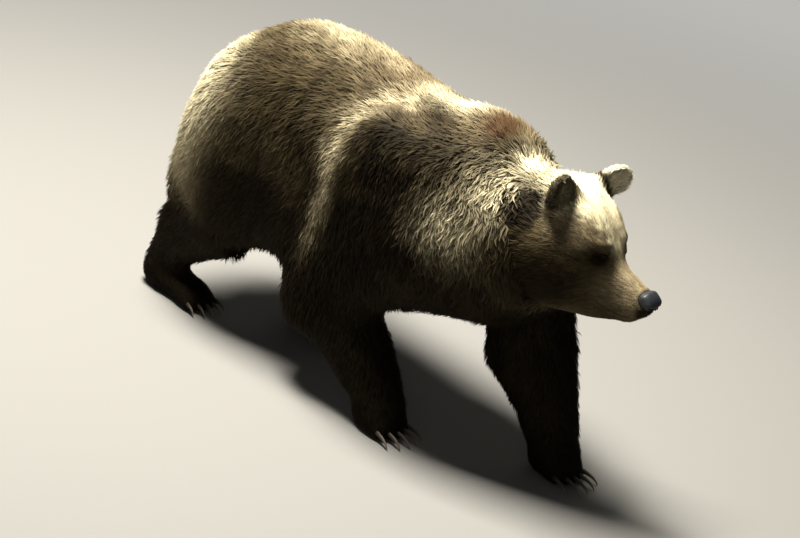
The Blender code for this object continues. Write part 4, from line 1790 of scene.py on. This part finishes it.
    def locks(self, roots: Roots) -> tuple[Array, Array]:
        """Gathers tufts into locks that are longer along the hair than across it.

        Each tuft joins the nearest of the jittered points of a grid, with distances along the
        hair counted short.

        Args:
            roots: the tufts' roots.

        Returns:
            For each tuft, how far it lies along and across from its lock's point, and the lock's
            random number from 0 to 1.
        """
        base = roots.place
        ways = (roots.flow, np.cross(roots.normal, roots.flow), roots.normal)
        level = np.round(np.log2(roots.plan["cell"] / self.least_cell) * 2)
        size = self.least_cell * 2 ** (level / 2)
        stretch = self.stretch * (1 + roots.plan["mane"])
        grid = np.floor(base / size[:, None]).astype(np.int64)
        nearest = np.full(len(base), np.inf)
        best = np.zeros(len(base), np.int64)
        offset = np.zeros((len(base), 2))
        for step in np.ndindex(5, 3, 5):
            cell = grid + np.array(step) - (2, 1, 2)
            key = (cell @ np.array([73856093, 19349663, 83492791])) ^ (level.astype(np.int64) * 7919)
            spot = np.stack([(key * m >> 8) % 4096 / 4096 for m in (40503, 30011, 52361)], axis=1)
            off = (cell + spot) * size[:, None] - base
            along, across, over = (dots(off, way) for way in ways)
            far = (along / stretch) ** 2 + across**2 + (0.6 * over) ** 2
            closer = far < nearest
            nearest[closer], best[closer] = far[closer], key[closer]
            offset[closer] = np.stack([along, across], axis=1)[closer]
        return offset, (best * 26544357 >> 7) % 8192 / 8192

    def shapes(self, kind: Tuft, roots: Roots) -> tuple[Array, Array, Array]:
        """The corner points of tufts and the way they face.

        Args:
            kind: the kind of tuft.
            roots: their roots.

        Returns:
            Points and normals, both (tufts, corners, 3), and each tuft's tone, with painted shade in it.
        """
        rng, count = self.rng, len(roots.place)
        normal, plan = roots.normal, roots.plan
        length = plan["length"] * rng.uniform(0.75, 1.2, count)
        width = plan["width"] * rng.uniform(0.7, 1.3, count) * kind.breadth
        turn = rng.normal(0, self.straying, count)[:, None]
        flow = unit(roots.flow + np.cross(normal, roots.flow) * turn)
        side = np.cross(normal, flow)
        standing = 0.62 + 0.45 * rng.random(count) + 0.3 * rng.random(count) ** 6
        reach = np.maximum(roots.depth / length, plan["lift"]) * standing
        lift = np.arcsin(np.clip(reach, 0, 0.85))
        offset, lot = self.locks(roots)
        line = self.middle_line(kind, roots, flow, length, lift)
        for k in range(1, len(line)):
            t = k / (len(line) - 1)
            drawn = offset[:, 1] * plan["clump"] * t**1.2
            phase = (t * length - offset[:, 0]) / self.curl + 2 * math.pi * lot
            wind = np.sin(phase) * self.wind * plan["mane"] * t**0.7
            line[k] = line[k] + side * (drawn + wind)[:, None]
        bulge = np.clip(-2.0 * offset[:, 1] / plan["cell"], -1, 1)
        rounded = unit(normal + side * (bulge * (self.bulge + 0.4 * plan["mane"]))[:, None])
        corners, facing = [], []
        for k, middle in enumerate(line[:-1]):
            half = (width / 2 * (1 - 0.6 * (k / kind.value) ** 2))[:, None]
            for across, out in ((1, 0), (-1, 0), (0, 0.8)):
                corners.append(middle + side * half * across + normal * half * out)
                facing.append(side * across * 0.8 + normal * (0.2 + out))
        corners.append(line[-1])
        facing.append(normal + flow * 0.3)
        own = unit(np.stack(facing, axis=1))
        soft = unit(rounded[:, None] * self.softness + own * (1 - self.softness))
        share = 0.40 + 0.30 * plan["mane"]
        # Random tone from the lock and the tuft, and painted shade: tufts that stand low are darker and tall
        # ones paler, as shade deep in the coat.
        tone = share * lot + (0.70 - share) * rng.random(count) + 0.30 * ramp(standing, 0.6, 1.2)
        # Painted shade in the gaps between locks: tufts darker towards their lock's edges, more so in the
        # mane.
        tone -= (0.14 + 0.32 * plan["mane"]) * (np.abs(bulge) - 0.4)
        shape = np.stack(corners, axis=1)
        shape[..., 2] = np.maximum(shape[..., 2], self.clearance)
        return shape, soft, np.clip(tone, 0, 1)

    def middle_line(self, kind: Tuft, roots: Roots, flow: Array, length: Array, lift: Array) -> list[Array]:
        """The middle of each tuft: steep at the root and lower towards the tip.

        Args:
            kind: the kind of tuft.
            roots: their roots.
            flow: the way each one lies.
            length: how long each is.
            lift: how steeply each stands, in radians.

        Returns:
            Points from root to tip, one more than the kind has rings.
        """
        normal, parts = roots.normal, kind.parts
        line = [roots.place - normal * np.minimum(self.sink, 0.12 * length)[:, None]]
        for k in range(parts):
            angle = lift
            if parts > 1:
                angle = np.minimum(lift * (1.6 - 1.2 * (k + 0.5) / parts), self.steepest)
            step = flow * np.cos(angle)[:, None] + normal * np.sin(angle)[:, None]
            line.append(line[-1] + step * (length / parts)[:, None])
        return [line[0], *line[1 if parts == 1 else 2 :]]

    def piece(self, name: str, bits: list[tuple[Tuft, Roots]], fur: bpy.types.Material) -> int:
        """One mesh of tufts.

        Args:
            name: the piece's name.
            bits: each kind of tuft with its roots.
            fur: the coat's finish.

        Returns:
            How many triangles it has.
        """
        columns: dict[str, list[Array]] = {}
        start = 0
        for kind, roots in bits:
            if not len(roots.place):
                continue
            shape, facing, tone = self.shapes(kind, roots)
            pattern = kind.pattern()
            tufts, corners = shape.shape[:2]
            along = np.append(np.repeat(np.arange(kind.value) / kind.value, 3), 1.0)
            across = np.append(np.tile([0.5, -0.5, 0.0], kind.value), 0.0)
            offset = np.stack([across, along - 0.5], axis=1) * self.patch
            tones = np.repeat(tone, corners)
            found = {
                "points": shape.reshape(-1, 3),
                "normals": facing.reshape(-1, 3),
                "faces": (start + np.arange(tufts)[:, None, None] * corners + pattern).reshape(-1, 3),
                "marks": np.repeat(roots.marks, corners, axis=0),
                "hair": np.stack([np.tile(along, tufts), tones, tones * 0], axis=1),
                "uv": (roots.uv[:, None] + offset)[:, pattern].reshape(-1, 2),
            }
            for key, values in found.items():
                columns.setdefault(key, []).append(values)
            start += tufts * corners
        joined = {key: np.concatenate(rows) for key, rows in columns.items()}
        mesh = self.mesh(name, joined["points"], joined["faces"])
        marks = joined["marks"]
        add_fields(
            mesh, marks=marks[:, :3], tan=marks[:, 3], hair=joined["hair"], custom_normal=joined["normals"]
        )
        layer = mesh.uv_layers.new(name=SKIN_MAP)
        layer.data.foreach_set("uv", joined["uv"].astype(np.float32).ravel())
        add_piece(name, mesh, [], fur)
        return len(mesh.polygons)

    @staticmethod
    def mesh(name: str, points: Array, faces: Array) -> bpy.types.Mesh:
        """A mesh from arrays.

        Args:
            name: its name.
            points: rows of places.
            faces: rows of three corner numbers.

        Returns:
            The mesh.
        """
        mesh = bpy.data.meshes.new(name)
        mesh.vertices.add(len(points))
        mesh.vertices.foreach_set("co", points.astype(np.float32).ravel())
        mesh.loops.add(faces.size)
        mesh.loops.foreach_set("vertex_index", faces.astype(np.int32).ravel())
        mesh.polygons.add(len(faces))
        mesh.polygons.foreach_set("loop_start", np.arange(0, faces.size, 3, dtype=np.int32))
        mesh.update(calc_edges=True)
        return mesh


# ---------------- eyes, nose and claws


@dataclass
class Eye:
    """One eyeball with its lids; side is 1 on the left and -1 on the right.

    Each row of the lids is half as wide and as high as its two angles say, in degrees, and lies
    at its radius from the eye's middle.
    """

    head: HeadFrame
    side: int
    radius: float = 0.0108
    cornea: float = 0.0007
    cornea_reach: float = math.radians(32)
    depth: float = 0.0035
    around: int = 40
    steps: int = 26
    roundness: float = 0.25
    upper_share: float = 0.9
    lid_rows: tuple = (
        (45, 21, 0.0103),
        (46, 22, 0.0116),
        (49, 26, 0.0122),
        (56, 35, 0.0121),
        (66, 50, 0.0111),
        (80, 72, 0.0098),
        (60, 48, 0.0092),
    )

    def __post_init__(self) -> None:
        """Finds the eye's place and axes."""
        self.look, self.across, self.up = self.head.eye_axes(self.side)
        self.centre = self.head.eyes[self.side] - self.look * self.depth
        self.word = "left" if self.side > 0 else "right"

    def ball(self, finish: bpy.types.Material) -> None:
        """The eyeball with its cornea.

        Args:
            finish: the eye's finish.
        """
        shape, tilts = ball_rings(self.steps, self.around)
        radius = self.radius + self.cornea * bell(tilts, 0, self.cornea_reach)
        ways = shape @ np.array([self.look, self.across, self.up])
        mesh = ring_mesh(f"eyeball_{self.word}", self.centre + ways * radius[:, None, None])
        add_fields(mesh, from_pupil=np.append(np.repeat(tilts / math.pi, self.around), [0.0, 1.0]))
        add_piece(mesh.name, mesh, [f"eye_{self.word}"], finish)

    def lids(self, finish: bpy.types.Material) -> None:
        """Upper and lower lid as one ring round an almond opening.

        Args:
            finish: the lids' finish.
        """
        turns = angles(self.around)
        almond = np.sin(turns) * np.abs(np.sin(turns)) ** self.roundness
        rings = []
        for wide, high, radius in self.lid_rows:
            a = np.radians(wide) * np.cos(turns)
            b = np.radians(high) * almond
            b = b * np.where(b > 0, self.upper_share, 1.0)
            way = (
                self.look * (np.cos(a) * np.cos(b))[:, None]
                + self.across * (np.sin(a) * np.cos(b))[:, None]
                + self.up * np.sin(b)[:, None]
            )
            rings.append(self.centre + way * radius)
        mesh = ring_mesh(f"eyelids_{self.word}", np.array(rings), looped=True)
        add_piece(mesh.name, mesh, [], finish)


@dataclass
class NosePad:
    """The bare nose: a broad rounded pad with two comma-shaped nostrils."""

    head: HeadFrame
    middle: tuple = (0.2575, 0.0, -0.0405)
    sizes: tuple = (0.0285, 0.0335, 0.0280)
    squareness: float = 0.66
    steps: int = 44
    around: int = 72
    narrowing: float = 0.34
    under_slope: float = 0.55
    front_drop: float = 0.42
    back_drop: float = 0.20
    nostril: tuple = (0.0125, -0.0045)
    slit_end: tuple = (0.0270, -0.0010)
    slit_sag: float = 0.0022
    slit_narrowing: float = 0.55
    nostril_width: float = 0.0046
    nostril_depth: float = 0.0095
    rim: float = 0.0014
    rim_line: tuple = (0.0080, 0.0034)
    groove: float = 0.0016

    def build(self, finish: bpy.types.Material) -> None:
        """Makes the pad.

        Args:
            finish: the leather.
        """
        shape, _ = ball_rings(self.steps, self.around)
        place = np.sign(shape) * np.abs(shape) ** self.squareness * np.array(self.sizes)
        place = self.carved(place.reshape(-1, 3)).reshape(place.shape)
        mesh = ring_mesh("nose_pad", self.head.world(place + np.array(self.middle)))
        add_piece("nose_pad", mesh, [], finish)

    def carved(self, place: Array) -> Array:
        """Cuts nostrils and the groove between them, and narrows the pad below.

        Args:
            place: rows of places from the pad's middle.

        Returns:
            The moved places.
        """
        x, y, z = place.T.copy()
        y = y * (1 - self.narrowing * ramp(z, 0.002, -self.sizes[2]))
        x = x - self.under_slope * np.clip(0.004 - z, 0, 1) * ramp(x, -0.01, 0.01)
        z = z - self.front_drop * np.clip(x + 0.008, 0, 1) * ramp(z, -0.012, 0.010)
        z = z - self.back_drop * ramp(x, 0.0, -0.02) * np.clip(z, 0, 1)
        start, end = np.array(self.nostril), np.array(self.slit_end)
        line = end - start
        off = np.stack([np.abs(y), z], axis=1) - start
        share = np.clip(off @ line / (line @ line), 0, 1)
        sag = self.slit_sag * np.sin(math.pi * share)
        away = np.linalg.norm(off - share[:, None] * line + np.stack([0 * sag, sag], 1), axis=1)
        width = self.nostril_width * (1 - self.slit_narrowing * share)
        into = self.nostril_depth * (1 - 0.4 * share) * bell(away, 0, width)
        into -= self.rim * bell(away, *self.rim_line)
        into += self.groove * bell(y, 0, 0.0016) * ramp(z, 0.006, -0.002)
        into *= ramp(x, -0.004, 0.004)
        moved = np.stack([x, y, z], axis=1)
        return moved - unit(moved + (0.02, 0, 0)) * into[:, None]


@dataclass
class Claw:
    """One claw, drawn smooth through the stations of its solid."""

    node: str
    corners: int = 14
    steps: int = 16
    rings: int = 5
    root: float = 0.010
    slimness: float = 0.70
    flatness: float = 0.72
    point: float = 0.35

    def stations(self) -> tuple[Array, Array]:
        """Centres and half thicknesses along the claw, root first.

        Returns:
            Places, and one number for each.
        """
        points = np.unique(np.round(node_points(self.node), 6), axis=0)
        middle = points.mean(axis=0)
        _, _, ways = np.linalg.svd(points - middle)
        order = np.argsort((points - middle) @ ways[0])
        groups = np.array_split(points[order], self.rings)
        if groups[0][:, 2].mean() < groups[-1][:, 2].mean():
            groups = groups[::-1]
        centres = np.array([group.mean(axis=0) for group in groups])
        sizes = np.array([np.linalg.norm(g - g.mean(axis=0), axis=1).max() for g in groups])
        return centres, sizes

    def build(self, finish: bpy.types.Material) -> None:
        """Makes the claw.

        Args:
            finish: the horn.
        """
        centres, sizes = self.stations()
        back = unit(centres[0] - centres[1])
        centres = np.vstack([centres[0] + back * self.root, centres])
        sizes = np.concatenate([[sizes[0]], sizes])
        t = np.linspace(0, len(centres) - 1, self.steps)
        line = np.stack([np.interp(t, np.arange(len(centres)), c) for c in centres.T], axis=1)
        for _ in range(2):
            line[1:-1] = (line[:-2] + 2 * line[1:-1] + line[2:]) / 4
        thick = np.interp(t, np.arange(len(sizes)), sizes)
        thick[-1] *= self.point
        along = unit(np.gradient(line, axis=0))
        side = unit(np.cross(along, [0, 0, 1.0]))
        over = np.cross(side, along)
        turns = angles(self.corners)
        flat = np.where(np.sin(turns) < 0, self.flatness, 1.0)
        rings = (
            line[:, None]
            + side[:, None] * (thick[:, None] * self.slimness * np.cos(turns))[:, :, None]
            + over[:, None] * (thick[:, None] * np.sin(turns) * flat)[:, :, None]
        )
        mesh = ring_mesh(f"{self.node}_horn", rings)
        share = np.repeat(np.linspace(0, 1, self.steps), self.corners)
        add_fields(mesh, along=np.append(share, [0.0, 1.0]))
        add_piece(mesh.name, mesh, [self.node], finish)


# ---------------- studio


@dataclass(frozen=True)
class Lamp:
    """One soft square lamp over the bear: place, side in metres, power in watts and colour."""

    name: str
    place: tuple
    size: float
    power: float
    colour: tuple = (1.0, 0.95, 0.85)

    def hang(self, aim: tuple) -> None:
        """Hangs the lamp in the scene.

        Args:
            aim: where it points.
        """
        data = bpy.data.lights.new(self.name, "AREA")
        data.size = self.size
        data.energy = self.power
        data.color = self.colour
        lamp = bpy.data.objects.new(self.name, data)
        lamp.location = self.place
        lamp.rotation_euler = (Vector(aim) - Vector(self.place)).to_track_quat("-Z", "Y").to_euler()
        bpy.context.scene.collection.objects.link(lamp)


@dataclass
class Studio:
    """A pale floor, soft light and the camera.

    scale says how much of the view's width one metre at the target takes, and aside how far the
    target stands from the view's middle, both in the same measure as view_width.
    """

    target: tuple = (-0.145, 0.0, 0.5)
    azimuth: float = math.radians(40)
    elevation: float = math.radians(21)
    roll: float = math.radians(14)
    distance: float = 7.0
    scale: float = 340.0
    view_width: float = 800.0
    sensor: float = 36.0
    aside: tuple = (28.0, 54.0)
    floor_size: float = 40.0
    floor_finish: Finish = Finish("floor", 0.9, 0.5)
    floor_colour: tuple = (0.19, 0.185, 0.175)
    backdrop: tuple = (0.50, 0.49, 0.46)
    fade: tuple = (1.6, 6.0)
    sky_colour: tuple = (0.96, 0.96, 0.94)
    sky_strength: float = 0.07
    lamp_aim: tuple = (0.0, 0.0, 0.6)
    lamps: tuple = (
        Lamp("key", (-1.5, -0.7, 5.6), 2.0, 1450, (1.0, 0.96, 0.87)),
        Lamp("fill", (3.0, -4.5, 2.6), 4.0, 20),
        Lamp("far_fill", (-2.0, 5.0, 2.6), 4.0, 24),
    )

    def build(self) -> None:
        """Sets up floor, sky, lamps and camera."""
        self.floor()
        self.sky()
        bpy.context.scene.view_settings.view_transform = "Standard"
        for lamp in self.lamps:
            lamp.hang(self.lamp_aim)
        self.camera()

    def camera(self) -> None:
        """Looks at the bear from above its right side, turned as if it walked down a slope."""
        az, el, roll = self.azimuth, self.elevation, self.roll
        back = Vector((math.sin(az) * math.cos(el), -math.cos(az) * math.cos(el), math.sin(el)))
        right = Vector((math.cos(az), math.sin(az), 0))
        up = back.cross(right)
        dx, dy = self.aside
        u = dx * math.cos(roll) + dy * math.sin(roll)
        v = -dx * math.sin(roll) + dy * math.cos(roll)
        target = Vector(self.target)
        middle = target + right * (u / self.scale) - up * (v / self.scale)
        place = target + back * self.distance
        away = (place - middle).normalized()
        side = (right - away * right.dot(away)).normalized()
        turned = Matrix((side, away.cross(side), away)).transposed() @ Matrix.Rotation(roll, 3, "Z")
        data = bpy.data.cameras.new("camera")
        data.sensor_width = self.sensor
        data.lens = self.sensor * self.scale * self.distance / self.view_width
        camera = bpy.data.objects.new("camera", data)
        camera.matrix_world = Matrix.Translation(place) @ turned.to_4x4()
        bpy.context.scene.collection.objects.link(camera)
        bpy.context.scene.camera = camera

    def floor(self) -> None:
        """A wide plain floor."""
        mesh = bpy.data.meshes.new("floor")
        with edited(mesh) as shape:
            bmesh.ops.create_grid(shape, x_segments=1, y_segments=1, size=self.floor_size)
        mesh.materials.append(self.floor_paint())
        floor = bpy.data.objects.new("floor", mesh)
        bpy.context.scene.collection.objects.link(floor)

    def floor_paint(self) -> bpy.types.Material:
        """The floor's plain paint, which runs out into the backdrop's colour far from the bear.

        Returns:
            The material.
        """
        made, wiring, shader = self.floor_finish.start()
        wiring.put(self.floor_colour, shader.inputs["Base Color"])
        reach = wiring.add("ShaderNodeVectorMath", {0: wiring.place()}, operation="LENGTH")
        near, far = self.fade
        spans = {"Value": reach.outputs["Value"], "From Min": near, "From Max": far}
        fade = wiring.add("ShaderNodeMapRange", spans, interpolation_type="SMOOTHSTEP")
        rays = wiring.add("ShaderNodeLightPath", {})
        share = wiring.worked("MULTIPLY", fade.outputs["Result"], rays.outputs["Is Camera Ray"])
        paint = wiring.add("ShaderNodeEmission", {"Color": self.backdrop}).outputs["Emission"]
        mix = wiring.add("ShaderNodeMixShader", {"Fac": share, 1: shader.outputs["BSDF"], 2: paint})
        wiring.put(mix.outputs["Shader"], wiring.tree.nodes["Material Output"].inputs["Surface"])
        return made

    def sky(self) -> None:
        """A faint even light from all round, seen as a plain pale backdrop."""
        world = bpy.data.worlds.new("studio")
        world.use_nodes = True
        wiring = Wiring(world.node_tree)
        light = wiring.tree.nodes["Background"]
        wiring.fill(light, {"Color": self.sky_colour, "Strength": self.sky_strength})
        seen = wiring.add("ShaderNodeBackground", {"Color": self.backdrop})
        rays = wiring.add("ShaderNodeLightPath", {}).outputs["Is Camera Ray"]
        ways = {"Fac": rays, 1: light.outputs["Background"], 2: seen.outputs["Background"]}
        mix = wiring.add("ShaderNodeMixShader", ways)
        wiring.put(mix.outputs["Shader"], wiring.tree.nodes["World Output"].inputs["Surface"])
        bpy.context.scene.world = world


# ---------------- the whole bear


def main() -> None:
    """Builds the bear piece by piece."""
    logging.basicConfig(level=logging.INFO, format="%(message)s")
    Studio().build()
    head = HeadFrame()
    effects = Effects()
    skin = Skin(head)
    skin.build()
    markings = Markings(head, skin.face)
    skin.dress(markings, effects)
    fur = CoatFinish("fur", roughness=0.62, specular=0.08)
    Coat(skin, Lie(skin), markings).build(fur.material(effects))
    eye = EyeFinish("eye", roughness=0.06, specular=0.06, wet=0.03, wet_roughness=0.02).material()
    lid = LeatherFinish("eyelid", roughness=0.85, specular=0.12).material(effects)
    for side in (-1, 1):
        made = Eye(head, side)
        made.ball(eye)
        made.lids(lid)
    # The nose leather's blue-grey colour is partly black leather, partly a painted bluish reflection.
    nose = LeatherFinish("nose leather", 0.47, 0.34, wet=0.04, colour=(0.0085, 0.0097, 0.0120), pebbles=0.8)
    NosePad(head).build(nose.material(effects))
    horn = HornFinish("claw horn", roughness=0.48, specular=0.35).material(effects)
    for leg in Leg:
        for number in range(1, 6):
            Claw(f"{leg.value}_claw_{number}").build(horn)


if __name__ == "__main__":
    main()
